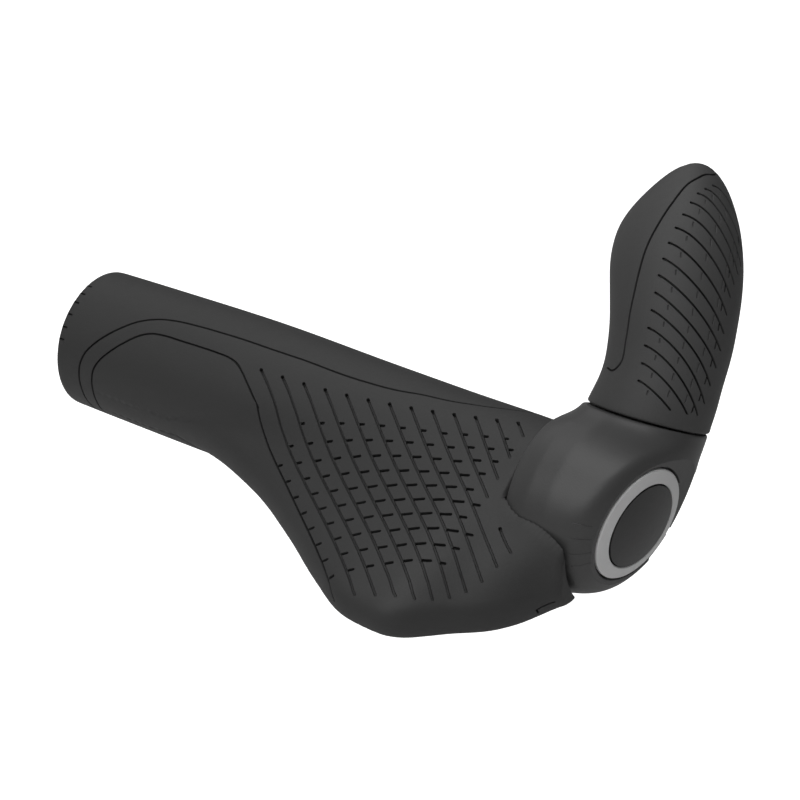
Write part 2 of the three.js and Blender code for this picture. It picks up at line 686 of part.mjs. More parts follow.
function makeSleeve() {
  const start = seamGap / armLength;
  const shares = [start, start + 0.009, 0.12, 0.24, 0.36, 0.48, 0.6, 0.7, 0.78, 0.85, 0.91, 0.96, 0.995];
  let sleeve = solid(skin(shares.map((share, i) => armRing(share, i === 0 ? lipRound : 0, 20))));
  sleeve = sleeve.subtract(armCore(-1, stalkLength + fit, sleeveWall));
  for (let i = 0; i < sleeveGrooves; i += 1) sleeve = sleeve.subtract(sleeveGroove(i));
  sleeve = sleeve.subtract(channel(sleeveLine.map(armSample), lineWidth, lineDepth));
  return toGeometry(sleeve);
}

// Cap: a dark disc with a flange under the shell's rim, domed, with a shallow seat for the ring
const domeHeight = (radius) => capDome * (1 - (radius / ringOuter) ** 2);
function makeCap() {
  const seat = ringOuter - ringWidth - fit;
  const profile = [[-capThick - 1.5, 0], [-capThick - 1.5, barRadius - 1], [-capThick, barRadius - 1],
    [-capThick, capRadius], [-flangeDrop, capRadius], [-flangeDrop, ringOuter],
    [-ringThick - fit, ringOuter - fit]];
  profile.push([-ringThick - fit + domeHeight(seat), seat]);
  for (let i = 0; i <= 2; i += 1) {
    const radius = seat * (1 - i / 2);
    profile.push([domeHeight(radius), radius]);
  }
  return toGeometry(solid(onCap(turned(profile))));
}

// Ring: a thin grey annulus that follows the cap's dome
function makeRing() {
  const inner = ringOuter - ringWidth;
  const steps = 3;
  const radii = Array.from({ length: steps + 1 }, (_, i) => ringOuter - ringWidth * i / steps);
  const profile = [...radii.map((r) => [domeHeight(r), r]), [domeHeight(inner) - ringThick, inner],
    [-ringThick, ringOuter], [domeHeight(ringOuter), ringOuter]];
  return toGeometry(solid(onCap(turned(profile))));
}

// Clamp screw with a socket head, the washer under it and the square nut in the upper lug
function makeBolt() {
  const under = -seatHeight - 2 * fit - washerThick;
  const top = under - boltDiameter;
  const tip = under + boltLength;
  const profile = [[top, 0], [top, headRadius - 0.4], [top + 0.4, headRadius], [under, headRadius],
    [under, boltRadius], [tip - 0.6, boltRadius], [tip, boltRadius - 0.6], [tip, 0]];
  const socketRadius = boltDiameter * 0.46;
  const socket = new THREE.CylinderGeometry(socketRadius, socketRadius, boltDiameter, 6);
  socket.rotateZ(Math.PI / 2).translate(top, 0, 0);
  const bolt = solid(turned(profile, smallFacets)).subtract(solid(socket));
  return inClamp(toGeometry(bolt));
}
function makeWasher() {
  const low = -seatHeight - fit - washerThick;
  const high = low + washerThick;
  const hole = boltRadius + fit;
  const section = [[low, hole], [low, headRadius], [high, headRadius], [high, hole], [low, hole]];
  return inClamp(toGeometry(solid(turned(section, smallFacets))));
}
function makeNut() {
  const low = seatHeight + fit;
  const high = low + nutThick;
  const nut = solid(block([low, -nutWidth / 2, -nutWidth / 2], [high, nutWidth / 2, nutWidth / 2]));
  return inClamp(toGeometry(nut.subtract(solid(rod(low - 1, high + 1, boltRadius + fit)))));
}

const rubber = new THREE.MeshStandardMaterial({ color: 0x3c3c3c, roughness: 0.8, metalness: 0 });
const sleeveRubber = new THREE.MeshStandardMaterial({ color: 0x3a3a3a, roughness: 0.8, metalness: 0 });
const shellPlastic = new THREE.MeshStandardMaterial({ color: 0x3f3f3f, roughness: 0.6, metalness: 0 });
const corePlastic = new THREE.MeshStandardMaterial({ color: 0x1c1c1c, roughness: 0.5, metalness: 0 });
const capPlastic = new THREE.MeshStandardMaterial({ color: 0x2b2b2b, roughness: 0.45, metalness: 0 });
const greyPlastic = new THREE.MeshStandardMaterial({ color: 0x9e9e9e, roughness: 0.45, metalness: 0 });
const steel = new THREE.MeshStandardMaterial({ color: 0x8a8a88, roughness: 0.35, metalness: 1 });

const group = new THREE.Group();
function place(name, geometry, material) {
  const mesh = new THREE.Mesh(geometry, material);
  mesh.name = name;
  group.add(mesh);
}
place('rubber_grip', makeGrip(), rubber);
place('grip_core', makeCore(), corePlastic);
place('bar_end_shell', makeShell(), shellPlastic);
place('bar_end_sleeve', makeSleeve(), sleeveRubber);
place('clamp_bolt', makeBolt(), steel);
place('clamp_washer', makeWasher(), steel);
place('clamp_nut', makeNut(), steel);
place('end_cap', makeCap(), capPlastic);
place('cap_ring', makeRing(), greyPlastic);

export default group;
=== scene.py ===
# Handlebar grip with a palm wing and a short clamped bar end, right-hand side.
# Metres. X runs along the handlebar, outboard; Y is forward; Z is up. The origin is on the
# handlebar's axis, in the plane of the grip's inner end.
import math

import bmesh
import bpy
import numpy as np
from mathutils import Matrix, Vector
from mathutils.geometry import delaunay_2d_cdt
from mathutils.kdtree import KDTree


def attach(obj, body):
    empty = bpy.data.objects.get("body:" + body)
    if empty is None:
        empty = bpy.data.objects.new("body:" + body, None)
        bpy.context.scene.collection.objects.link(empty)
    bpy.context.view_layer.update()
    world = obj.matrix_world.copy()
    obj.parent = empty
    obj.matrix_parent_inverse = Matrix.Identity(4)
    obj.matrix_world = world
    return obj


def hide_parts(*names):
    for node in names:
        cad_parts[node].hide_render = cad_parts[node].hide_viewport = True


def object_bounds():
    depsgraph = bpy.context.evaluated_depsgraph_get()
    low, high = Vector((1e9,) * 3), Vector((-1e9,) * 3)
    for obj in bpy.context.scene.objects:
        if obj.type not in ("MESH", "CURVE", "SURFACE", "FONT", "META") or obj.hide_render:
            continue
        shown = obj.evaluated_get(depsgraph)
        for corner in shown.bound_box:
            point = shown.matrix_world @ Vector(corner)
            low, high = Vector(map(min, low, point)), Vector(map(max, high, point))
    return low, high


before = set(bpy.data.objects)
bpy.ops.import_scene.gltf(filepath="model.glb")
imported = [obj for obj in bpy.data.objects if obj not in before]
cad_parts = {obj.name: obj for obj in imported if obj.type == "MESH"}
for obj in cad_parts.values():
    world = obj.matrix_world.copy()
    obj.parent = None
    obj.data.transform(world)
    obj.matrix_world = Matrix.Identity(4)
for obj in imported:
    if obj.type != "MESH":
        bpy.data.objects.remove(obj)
cad_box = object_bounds()


# Core tube
# A hard plastic tube that slides over the handlebar. The rubber is moulded on it, and its
# outboard end is slotted so that the clamp collar can squeeze it.

bar_radius = 0.01115
core_radius = 0.013
core_start = 0.003
grip_length = 0.124
core_end = grip_length + 0.0145


class Shape:
    """A Geometry Nodes tree that is being built, with its named sizes."""

    def __init__(self, name, **sizes):
        self.tree = bpy.data.node_groups.new(name, "GeometryNodeTree")
        self.tree.interface.new_socket("Geometry", in_out="OUTPUT",
                                       socket_type="NodeSocketGeometry")
        self.sizes = sizes
        for label, value in sizes.items():
            kind = "NodeSocketInt" if isinstance(value, int) else "NodeSocketFloat"
            self.tree.interface.new_socket(label, in_out="INPUT", socket_type=kind)
        self.given = self.tree.nodes.new("NodeGroupInput")

    def add(self, kind, settings=(), inputs=(), output=0):
        made = self.tree.nodes.new(kind)
        for label, value in dict(settings).items():
            setattr(made, label, value)
        for label, value in dict(inputs).items():
            for link in value if isinstance(value, list) else [value]:
                if isinstance(link, bpy.types.NodeSocket):
                    self.tree.links.new(link, made.inputs[label])
                else:
                    made.inputs[label].default_value = link
        return made.outputs[output]

    def math(self, operation, first, second):
        return self.add("ShaderNodeMath", {"operation": operation}, {0: first, 1: second})

    def vector(self, x=0.0, y=0.0, z=0.0):
        return self.add("ShaderNodeCombineXYZ", (), {"X": x, "Y": y, "Z": z})

    def mesh(self, geometry, material):
        """Plain mesh of the finished tree, with every instance made real."""
        real = self.add("GeometryNodeRealizeInstances", (), {"Geometry": geometry})
        last = self.add("GeometryNodeSetMaterial", (), {"Geometry": real, "Material": material})
        self.tree.links.new(last, self.tree.nodes.new("NodeGroupOutput").inputs[0])
        holder = bpy.data.objects.new(self.tree.name, bpy.data.meshes.new(self.tree.name))
        bpy.context.scene.collection.objects.link(holder)
        modifier = holder.modifiers.new("shape", "NODES")
        modifier.node_group = self.tree
        for item in self.tree.interface.items_tree:
            if item.in_out == "INPUT":
                modifier[item.identifier] = self.sizes[item.name]
        seen = holder.evaluated_get(bpy.context.evaluated_depsgraph_get())
        made = bpy.data.meshes.new_from_object(seen)
        bpy.data.objects.remove(holder)
        return made


class Wire:
    """One output in a material's node tree. Arithmetic on it adds Math nodes."""

    def __init__(self, tree, socket=None):
        self.tree = tree
        self.socket = socket

    def node(self, kind, settings=(), inputs=(), output=0):
        made = self.tree.nodes.new("ShaderNode" + kind)
        for label, value in dict(settings).items():
            setattr(made, label, value)
        for label, value in dict(inputs).items():
            if isinstance(value, Wire):
                self.tree.links.new(value.socket, made.inputs[label])
            else:
                made.inputs[label].default_value = value
        return Wire(self.tree, made.outputs[output])

    def math(self, operation, first, second):
        return self.node("Math", {"operation": operation}, {0: first, 1: second})

    def __add__(self, other):
        return self.math("ADD", self, other)

    __radd__ = __add__

    def __mul__(self, other):
        return self.math("MULTIPLY", self, other)

    __rmul__ = __mul__

    def noise(self, size, detail=2.0, seed=0.0):
        """Noise between 0 and 1 whose blotches are about this many metres across."""
        return self.node("TexNoise", {"noise_dimensions": "4D"},
                         {"Vector": self, "W": seed, "Scale": 1 / size, "Detail": detail})

    def mixed(self, low, high):
        """This number mixes two colours."""
        return self.node("Mix", {"data_type": "RGBA"}, {"Factor": self, 6: low, 7: high}, 2)


class Finish:
    """A material and its shader. What changes over the surface is wired in with `vary`."""

    def __init__(self, name, roughness, metallic=0.0):
        self.material = bpy.data.materials.new(name)
        self.material.use_nodes = True
        self.tree = self.material.node_tree
        self.shader = self.tree.nodes["Principled BSDF"]
        self.shader.inputs["Roughness"].default_value = roughness
        self.shader.inputs["Metallic"].default_value = metallic
        self.place = Wire(self.tree).node("TexCoord", output="Object")

    def vary(self, label, wire):
        self.tree.links.new(wire.socket, self.shader.inputs[label])

    def bump(self, height, distance):
        self.vary("Normal", height.node("Bump", (), {"Height": height, "Distance": distance}))


def grey(level):
    return (level, level, level, 1)


def moulded_plastic(name, level, roughness, grain):
    """Hard plastic from a spark-eroded mould: an even colour and a fine, shallow grain."""
    finish = Finish(name, roughness)
    fine = finish.place.noise(grain, 3.0)
    broad = finish.place.noise(0.012, 2.0, 4.0)
    finish.vary("Base Color", broad.mixed(grey(level * 0.93), grey(level * 1.07)))
    finish.vary("Roughness", fine * 0.12 + (roughness - 0.06))
    finish.bump(fine, 0.000025)
    return finish.material


def plain(mesh):
    """Plain mesh in place of a bmesh. A plain mesh stays as it is."""
    if not isinstance(mesh, bmesh.types.BMesh):
        return mesh
    made = bpy.data.meshes.new("solid")
    mesh.to_mesh(made)
    mesh.free()
    return made


def piece(name, mesh, body, material, node, sharp_degrees=40, skin_record=None):
    """Smooths a mesh and makes it a piece that rides on a body and stands for a CAD node."""
    mesh = plain(mesh)
    mesh.name = name
    smooth(mesh, sharp_degrees, skin_record)
    if not mesh.materials:
        mesh.materials.append(material)
    made = bpy.data.objects.new(name, mesh)
    bpy.context.scene.collection.objects.link(made)
    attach(made, body)
    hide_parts(node)


def smooth(mesh, sharp_degrees, skin_record=None):
    """Smooth shading that bends over small faces and keeps large ones and sharp edges as they are.

    Where a moulded skin's true normals are known, its plain places are shaded by them.
    """
    mesh.shade_smooth()
    mesh.set_sharp_from_angle(angle=math.radians(sharp_degrees))
    holder = bpy.data.objects.new("holder", mesh)
    bpy.context.scene.collection.objects.link(holder)
    modifier = holder.modifiers.new("normals", "WEIGHTED_NORMAL")
    modifier.keep_sharp = True
    shaded = holder.evaluated_get(bpy.context.evaluated_depsgraph_get()).data
    normals = [corner.vector.copy() for corner in shaded.corner_normals]
    bpy.data.objects.remove(holder)
    if skin_record:
        tree, ways, sunk = skin_record
        nearest = [tree.find(vertex.co)[1:] for vertex in mesh.vertices]
        for face in mesh.polygons:
            for corner in face.loop_indices:
                k, apart = nearest[mesh.loops[corner].vertex_index]
                if apart < 2e-6 and sunk[k] < 1e-6 and face.normal.dot(ways[k]) > 0.5:
                    normals[corner] = ways[k]
    mesh.normals_split_custom_set(normals)


core_plastic = moulded_plastic("core_plastic", 0.014, 0.5, 0.0005)
core = Shape("grip_core", bore=bar_radius, outside=core_radius, start=core_start, end=core_end,
             slot_width=0.002, slot_length=0.012, slots=3, facets=128)
size = core.given.outputs
long = core.math("SUBTRACT", size["end"], size["start"])
outer = core.add("GeometryNodeMeshCylinder", (), {
    "Vertices": size["facets"], "Radius": size["outside"], "Depth": long})
inner = core.add("GeometryNodeMeshCylinder", (), {
    "Vertices": size["facets"], "Radius": size["bore"], "Depth": core.math("MULTIPLY", long, 1.2)})
cut = core.add("GeometryNodeMeshCube", (), {
    "Size": core.vector(size["outside"], size["slot_width"],
                        core.math("MULTIPLY", size["slot_length"], 2.0))})
places = core.add("GeometryNodeMeshCircle", (), {
    "Vertices": size["slots"], "Radius": size["outside"]})
turn = core.vector(z=core.math("MULTIPLY", core.add("GeometryNodeInputIndex"),
                               core.math("DIVIDE", math.tau, size["slots"])))
cuts = core.add("GeometryNodeInstanceOnPoints", (), {
    "Points": places, "Instance": cut, "Rotation": turn})
cuts = core.add("GeometryNodeRealizeInstances", (), {"Geometry": cuts})
cuts = core.add("GeometryNodeTransform", (), {
    "Geometry": cuts, "Translation": core.vector(z=core.math("MULTIPLY", long, 0.5))})
tube = core.add("GeometryNodeMeshBoolean", {"operation": "DIFFERENCE"}, {
    0: outer, 1: [inner, cuts]})
tube = core.add("GeometryNodeTransform", (), {
    "Geometry": tube, "Rotation": (0, math.pi / 2, 0),
    "Translation": core.vector(x=core.math("MULTIPLY", core.math("ADD", size["start"], size["end"]),
                                           0.5))})
core_mesh = core.mesh(tube, core_plastic)
piece("core_tube", core_mesh, "grip", core_plastic, "grip_core")


# Rubber grip
# Soft rubber moulded on the core: a round barrel that grows a wing for the palm. Fine grooves,
# rows of dashes and two thin lines are moulded into it, and its wing laps over the collar.

fit = 0.0003
bore_radius = core_radius + fit
wing_overhang = 0.0168
barrel_radius = 0.0162
wing_reach = 0.047
wing_drop = 0.012
wing_edge = 0.005
top_hollow = 0.0012
under_hollow = 0.003
rim_round = 0.0008
barrel_rise = 0.0006
lip_round = 0.001
lap_round = 0.001
easing = 0.0042
collar_radius = 0.0188
collar_width = 0.0227
collar_start = grip_length + fit


def between_knots(values, tangent, i, t, width):
    """Smooth values at share t of the stretch that follows knot i."""
    rest = 1 - t
    return ((1 + 2 * t) * rest**2 * values[i] + t * rest**2 * width * tangent[i]
            + t**2 * (3 - 2 * t) * values[i + 1] - t**2 * rest * width * tangent[i + 1])


def smooth_curve(*points):
    """Curve through a few points that never overshoots them."""
    knots, heights = np.array(points, float).T
    slope = np.diff(heights) / np.diff(knots)
    before, after = slope[:-1], slope[1:]
    turning = before * after <= 0
    middle = 2 * before * after / np.where(turning, 1, before + after)
    tangent = np.concatenate(([slope[0]], np.where(turning, 0, middle), [slope[-1]]))

    def curve(x):
        at = np.clip(x, knots[0], knots[-1])
        i = np.clip(np.searchsorted(knots, at, side="right") - 1, 0, len(slope) - 1)
        width = knots[i + 1] - knots[i]
        return between_knots(heights, tangent, i, (at - knots[i]) / width, width)

    return curve


# Stations count 0 to 1 along the grip and 1 to 2 past its lip
barrel = smooth_curve((0, 1.005), (0.1, 1.02), (0.36, 1.043), (0.645, 0.99), (0.855, 0.96),
                      (0.935, 0.955), (1, 0.945), (1.073, 0.94), (1.14, 0.965), (1.293, 1.035),
                      (1.47, 1.09), (1.64, 1.125), (1.79, 1.155), (1.92, 1.17), (2, 1.175))
reach_share = smooth_curve((0, 0), (0.21, 0.006), (0.32, 0.02), (0.484, 0.165), (0.629, 0.467),
                           (0.742, 0.765), (0.839, 0.968), (0.919, 0.99), (0.968, 0.86),
                           (1, 0.724), (1.244, 0.617), (1.488, 0.48), (1.732, 0.302),
                           (1.854, 0.198), (2, 0.123))
drop_share = smooth_curve((0, 0), (0.21, 0.045), (0.363, 0.3), (0.524, 0.667), (0.726, 0.917),
                          (0.887, 1), (1.244, 1), (1.488, 0.98), (1.732, 0.87), (1.854, 0.78),
                          (2, 0.65))
edge_share = smooth_curve((0, 1), (0.21, 0.91), (0.32, 0.536), (0.484, 0.179), (0.645, 0.036),
                          (0.847, 0), (2, 0))
top_share = smooth_curve((0, 0), (0.32, 0.25), (0.645, 0.83), (0.8, 0.55), (0.92, -0.05),
                         (1, -0.05), (1.2, 0.1), (1.5, 0), (2, -0.8))
under_share = smooth_curve((0, 0), (0.32, 0.17), (0.645, 1), (1, 1), (2, 0.3))
collar_share = smooth_curve((-0.3, 0.88), (0, 0.92), (0.12, 0.968), (0.25, 1), (0.43, 1),
                            (0.6, 0.968), (0.74, 0.935), (1, 0.87), (1.2, 0.8))


def collar_profile(x):
    return collar_radius * collar_share((x - collar_start) / collar_width)


def room_radius(x):
    """Radius of the room that the wing leaves round the collar."""
    widest = x > collar_start + collar_width * 0.25
    return np.where(widest, collar_radius, collar_profile(x)) + fit


def eased(share, x):
    """A share at places along the bar, averaged over its neighbourhood so that no bend shows."""
    spread = np.linspace(-1, 1, 11)
    weight = (1 - spread**2) / (1 - spread**2).sum()
    near = x[:, None] + spread * easing
    at = np.where(near <= grip_length, near / grip_length, 1 + (near - grip_length) / wing_overhang)
    return (share(at) @ weight)[:, None]


def grip_outline(x, inset):
    """Sections of the grip as y + iz: the barrel's arc and the wing edge's, with hollow sides."""
    inset = inset[:, None]
    girth = barrel_radius * eased(barrel, x)
    reach = barrel_radius + (wing_reach - barrel_radius) * eased(reach_share, x)
    edge = wing_edge + (barrel_radius - wing_edge) * eased(edge_share, x)
    edge = np.minimum(edge, girth * 0.999)
    centre = -np.maximum(reach - edge, 1e-5) - 1j * wing_drop * eased(drop_share, x)
    edge = np.maximum(edge, girth - 0.98 * abs(centre))
    lean = np.clip((girth - edge) / abs(centre), -0.999, 0.999)
    square = np.sqrt(1 - lean**2)
    top = centre / abs(centre) * (lean - 1j * square)
    under = centre / abs(centre) * (lean + 1j * square)
    top_angle = np.angle(top) % math.tau
    under_angle = np.angle(under) % math.tau
    t = np.linspace(0, 1, 80)
    rise = 1j * barrel_rise * np.clip(1 - x / (0.8 * grip_length), 0, 1)[:, None]

    def arc(middle, radius, start, end):
        return middle + radius * np.exp(1j * (start + (end - start) * t))

    def side(start, end, normal, hollow):
        return start + (end - start) * t - normal * hollow * np.sin(math.pi * t)**2

    over = arc(0, girth - inset, 0, top_angle)
    rear = np.clip(math.pi, top_angle, under_angle)
    behind = arc(centre, edge - inset, top_angle, rear)
    below = arc(centre, edge - inset, rear, under_angle)
    back = arc(0, girth - inset, under_angle, math.tau)
    return rise + np.concatenate([
        over, side(over[:, -1:], behind[:, :1], top, top_hollow * eased(top_share, x))[:, 1:-1],
        behind, below[:, 1:],
        side(below[:, -1:], back[:, :1], under, under_hollow * eased(under_share, x))[:, 1:-1],
        back[:, :-1]], axis=1)


# The grip's skin is a sheet: u runs along it in metres, round both end rims too, and v from 0 to
# 1 round it from a seam in front below. Each row of `skin` holds evenly spaced section points.
seam_degrees = 315
rim_run = rim_round * math.pi / 2
grip_end = grip_length + wing_overhang
sheet_length = grip_end - 2 * rim_round + 2 * rim_run
row_count = 340
spoke_count = 900


def along_grip(u):
    """Place along the bar and inset of the skin at u: both ends are rounded over."""
    from_end = sheet_length - u
    near = np.minimum(u, from_end)
    turn = np.clip(near / rim_round, 0, math.pi / 2)
    x = np.where(near < rim_run, rim_round * (1 - np.cos(turn)), near - rim_run + rim_round)
    x = np.where(u < from_end, x, grip_end - x)
    return x, rim_round * (1 - np.sin(turn))


row_u = np.linspace(0, sheet_length, row_count)
row_x, row_inset = along_grip(row_u)
outlines = grip_outline(row_x, row_inset)
skin = np.empty((row_count, spoke_count + 1), complex)
girths = np.empty(row_count)
for row, outline in enumerate(outlines):
    angle = np.unwrap(np.angle(outline))
    lead = np.radians(seam_degrees) - math.tau
    ring = np.tile(outline, 3)
    angle = np.concatenate([angle - math.tau, angle, angle + math.tau])
    run = np.concatenate(([0], np.cumsum(abs(np.diff(ring)))))
    start, end = np.interp([lead, lead + math.tau], angle, run)
    girths[row] = end - start
    spots = np.linspace(start, end, spoke_count + 1)
    skin[row] = np.interp(spots, run, ring.real) + 1j * np.interp(spots, run, ring.imag)
skin_degrees = np.degrees(np.unwrap(np.angle(skin), axis=1))
skin_degrees += seam_degrees - 360 - skin_degrees[:, :1]
sheet_breadth = girths.mean()


def on_skin(u, w):
    """Points of the plain skin at sheet places, and how much wider the skin is than the sheet."""
    row = np.clip(u / sheet_length * (row_count - 1), 0, row_count - 1.0001)
    spoke = np.clip(w / sheet_breadth * spoke_count, 0, spoke_count - 0.0001)
    i, j = row.astype(int), spoke.astype(int)
    s, t = row - i, spoke - j
    yz = ((1 - s) * ((1 - t) * skin[i, j] + t * skin[i, j + 1])
          + s * ((1 - t) * skin[i + 1, j] + t * skin[i + 1, j + 1]))
    x, _ = along_grip(u)
    radius = abs(yz)
    lap = np.clip((room_radius(x) + lap_round - radius) / lap_round, 0, 1)**2
    near_lip = np.clip((x - grip_length + lip_round) / lip_round, 0, 1)
    yz *= 1 - lap * lip_round * (1 - np.sqrt(1 - near_lip**2)) / radius
    return np.stack([x, yz.real, yz.imag], -1)


def rows_beside(x):
    """Sheet's u at a place along the bar, the skin's row before it and how far on the place is."""
    u = x - rim_round + rim_run
    row = np.clip(u / sheet_length * (row_count - 1), 0, row_count - 1.0001)
    return u, int(row), row - int(row)


def at_angle(x, degrees):
    """Sheet place at a place along the bar and an angle about it, over the top from the front."""
    u, i, on = rows_beside(x)
    degrees = (degrees - seam_degrees) % 360 + seam_degrees - 360
    low, high = (np.interp(degrees, skin_degrees[k], np.arange(spoke_count + 1))
                 for k in (i, i + 1))
    return u, (low + (high - low) * on) / spoke_count * sheet_breadth


def at_plan(x, y):
    """Sheet place on the grip's top, over a place in plan."""
    u, i, on = rows_beside(x)
    spokes = []
    for k in (i, i + 1):
        top = slice(np.searchsorted(skin_degrees[k], 20), skin[k].real.argmin() + 1)
        fall = -skin[k, top].real
        spokes.append(top.start + np.interp(-y, fall, np.arange(len(fall))))
    return u, (spokes[0] + (spokes[1] - spokes[0]) * on) / spoke_count * sheet_breadth


def even(path, step):
    """The same path with points an even step apart."""
    path = np.array(path)
    run = np.concatenate(([0], np.cumsum(np.linalg.norm(np.diff(path, axis=0), axis=1))))
    spots = np.linspace(0, run[-1], max(2, round(run[-1] / step) + 1))
    return np.stack([np.interp(spots, run, path[:, 0]), np.interp(spots, run, path[:, 1])], -1)


def curved(points, step):
    """Even path that runs smoothly through a few given points."""
    points = np.array(points)
    gaps = np.linalg.norm(np.diff(points, axis=0), axis=1)
    knots = np.concatenate(([0], np.cumsum(gaps)))
    tangent = np.gradient(points, knots, axis=0)
    fine = np.linspace(0, knots[-1], 14 * len(points))
    i = np.clip(np.searchsorted(knots, fine, side="right") - 1, 0, len(gaps) - 1)
    width = gaps[i][:, None]
    t = (fine - knots[i])[:, None] / width
    return even(between_knots(points, tangent, i, t, width), step)


def slopes(surface, u, w, nudge):
    """How the surface runs on along u and along w."""
    return ((surface(u + nudge, w) - surface(u - nudge, w)) / (2 * nudge),
            (surface(u, w + nudge) - surface(u, w - nudge)) / (2 * nudge))


def outline_round(surface, path, reach):
    """Closed outline on the sheet, at one true distance all round a path."""
    along_u, along_w = slopes(surface, *path.T, 0.0001)
    way = np.gradient(path, axis=0)
    ahead = way[:, :1] * along_u + way[:, 1:] * along_w
    speed = np.linalg.norm(ahead, axis=1)[:, None]
    across = np.cross(np.cross(along_u, along_w), ahead)
    across /= np.linalg.norm(across, axis=1)[:, None]
    uu, uw, ww = ((a * b).sum(1) for a, b in (
        (along_u, along_u), (along_u, along_w), (along_w, along_w)))
    across_u, across_w = (along_u * across).sum(1), (along_w * across).sum(1)
    side = np.stack([ww * across_u - uw * across_w, uu * across_w - uw * across_u], -1)
    side *= reach / (uu * ww - uw * uw)[:, None]
    way *= reach / speed
    turn = np.linspace(0, math.pi, 6)[1:-1, None]
    far = side[-1] * np.cos(turn) + way[-1] * np.sin(turn)
    near = -side[0] * np.cos(turn) - way[0] * np.sin(turn)
    return np.concatenate([path + side, path[-1] + far, (path - side)[::-1], path[0] + near])


def tree_of(points):
    tree = KDTree(len(points))
    for k, point in enumerate(points):
        tree.insert(point, k)
    tree.balance()
    return tree


def moulded_skin(surface, length, breadth, step, marks, levels):
    """Closed mesh over a sheet that is wrapped round, with its marks pressed in.

    Each mark is (path on the sheet, half width, depth). Their lips, walls and floors are lines
    of the mesh. `levels` are places along the sheet that get a dense line of points of their own.
    Also gives the points again with their true normals and how deep they are sunk.
    """
    lip, foot = 0.00006, 0.00009
    plane, edges = [], []

    def add(points, closed):
        first = len(plane)
        plane.extend(map(tuple, points))
        edges.extend((first + k, first + k + 1) for k in range(len(points) - 1))
        if closed:
            edges.append((len(plane) - 1, first))

    middles = {}
    for path, half, depth in marks:
        for reach in (half + lip, half - 0.3 * foot, half - foot):
            add(outline_round(surface, path, reach), True)
        middles.setdefault((half, depth), []).append(surface(*even(path, 0.0001).T))
    trees = {profile: tree_of(np.concatenate(lines)) for profile, lines in middles.items()}
    border = np.unique(np.concatenate([np.linspace(0, length, round(length / step) + 1), levels]))
    for side in (0, breadth):
        add([(u, side) for u in border], False)
    across = np.linspace(0, breadth, round(breadth / step) + 1)[1:-1]
    for level in (0, length):
        add([(level, w) for w in across], False)
    for level in levels:
        dense = np.linspace(0, breadth, round(2 * breadth / step) + 1)[1:-1]
        add([(level, w) for w in dense], False)
    spots = np.array([(u, w + (0.5 * across[0] if k % 2 else 0))
                      for k, u in enumerate(border[1:-1]) for w in across[:-1]])
    spots = spots[np.min(abs(spots[:, :1] - np.array(levels)[None]), axis=1) > step * 0.4]
    lifted = surface(*spots.T)
    for (half, _), tree in trees.items():
        clear = [tree.find(point)[2] > half + lip + step * 0.4 for point in lifted]
        spots, lifted = spots[clear], lifted[clear]
    plane.extend(map(tuple, spots))

    flat, _, faces, *_ = delaunay_2d_cdt([Vector(p) for p in plane], edges, [], 0, 1e-8)
    flat = np.array(flat)
    points = surface(*flat.T)
    nudge = 0.0002
    inner = np.clip(flat[:, 0], nudge, length - nudge), np.clip(flat[:, 1], nudge, breadth - nudge)
    normal = np.cross(*slopes(surface, *inner, nudge))
    normal /= np.maximum(np.linalg.norm(normal, axis=1), 1e-12)[:, None]
    normal *= np.sign((normal * (points - points.mean(0))).sum())
    sunk = np.zeros(len(flat))
    for (half, depth), tree in trees.items():
        apart = np.array([tree.find(point)[2] for point in points])
        share = np.clip((half + lip - apart) / (lip + foot), 0, 1)
        sunk = np.maximum(sunk, depth * share**2 * (3 - 2 * share))
    points -= normal * sunk[:, None]

    mesh = bmesh.new()
    verts = [mesh.verts.new(point) for point in points]
    for face in faces:
        mesh.faces.new([verts[k] for k in face])
    bmesh.ops.remove_doubles(mesh, verts=mesh.verts, dist=1e-7)
    closed_up(mesh)
    normal[(flat[:, 0] < step) | (flat[:, 0] > length - step)] = 0
    return mesh, (tree_of(points), normal, sunk)


def bridged(mesh, rings):
    """Joins rings of points, each with the next. A ring may be a single point."""
    for ring, following in zip(rings, rings[1:]):
        for k in range(max(len(ring), len(following))):
            corners = [ring[k % len(ring)], ring[(k + 1) % len(ring)],
                       following[(k + 1) % len(following)], following[k % len(following)]]
            corners = list(dict.fromkeys(corners))
            if len(corners) > 2:
                mesh.faces.new(corners)


def closed_up(mesh):
    """Fills a mesh's open ends and points its faces outwards."""
    bmesh.ops.holes_fill(mesh, edges=[edge for edge in mesh.edges if edge.is_boundary])
    bmesh.ops.recalc_face_normals(mesh, faces=mesh.faces)


def turned(profile, facets=192, closed=False):
    """Solid turned about the X axis, from places (x, radius) that end on the axis or close up."""
    mesh = bmesh.new()
    rings = [[mesh.verts.new((x, radius * math.cos(math.tau * k / facets),
                              radius * math.sin(math.tau * k / facets)))
              for k in range(facets if radius > 0 else 1)]
             for x, radius in profile]
    bridged(mesh, rings + rings[:1] if closed else rings)
    bmesh.ops.recalc_face_normals(mesh, faces=mesh.faces)
    return mesh


def carved(body, *steps):
    """Mesh of a body after joins and cuts, each given as ("UNION" or "DIFFERENCE", mesh)."""
    scene = bpy.context.scene.collection
    holders = []

    def holder(mesh):
        thing = bpy.data.objects.new("solid", plain(mesh))
        scene.objects.link(thing)
        holders.append(thing)
        return thing

    base = holder(body)
    for operation, tool in steps:
        modifier = base.modifiers.new("cut", "BOOLEAN")
        modifier.operation = operation
        modifier.solver = "MANIFOLD"
        modifier.object = holder(tool)
    seen = base.evaluated_get(bpy.context.evaluated_depsgraph_get())
    result = bpy.data.meshes.new_from_object(seen)
    result.materials.clear()
    for thing in holders:
        bpy.data.objects.remove(thing)
    return result


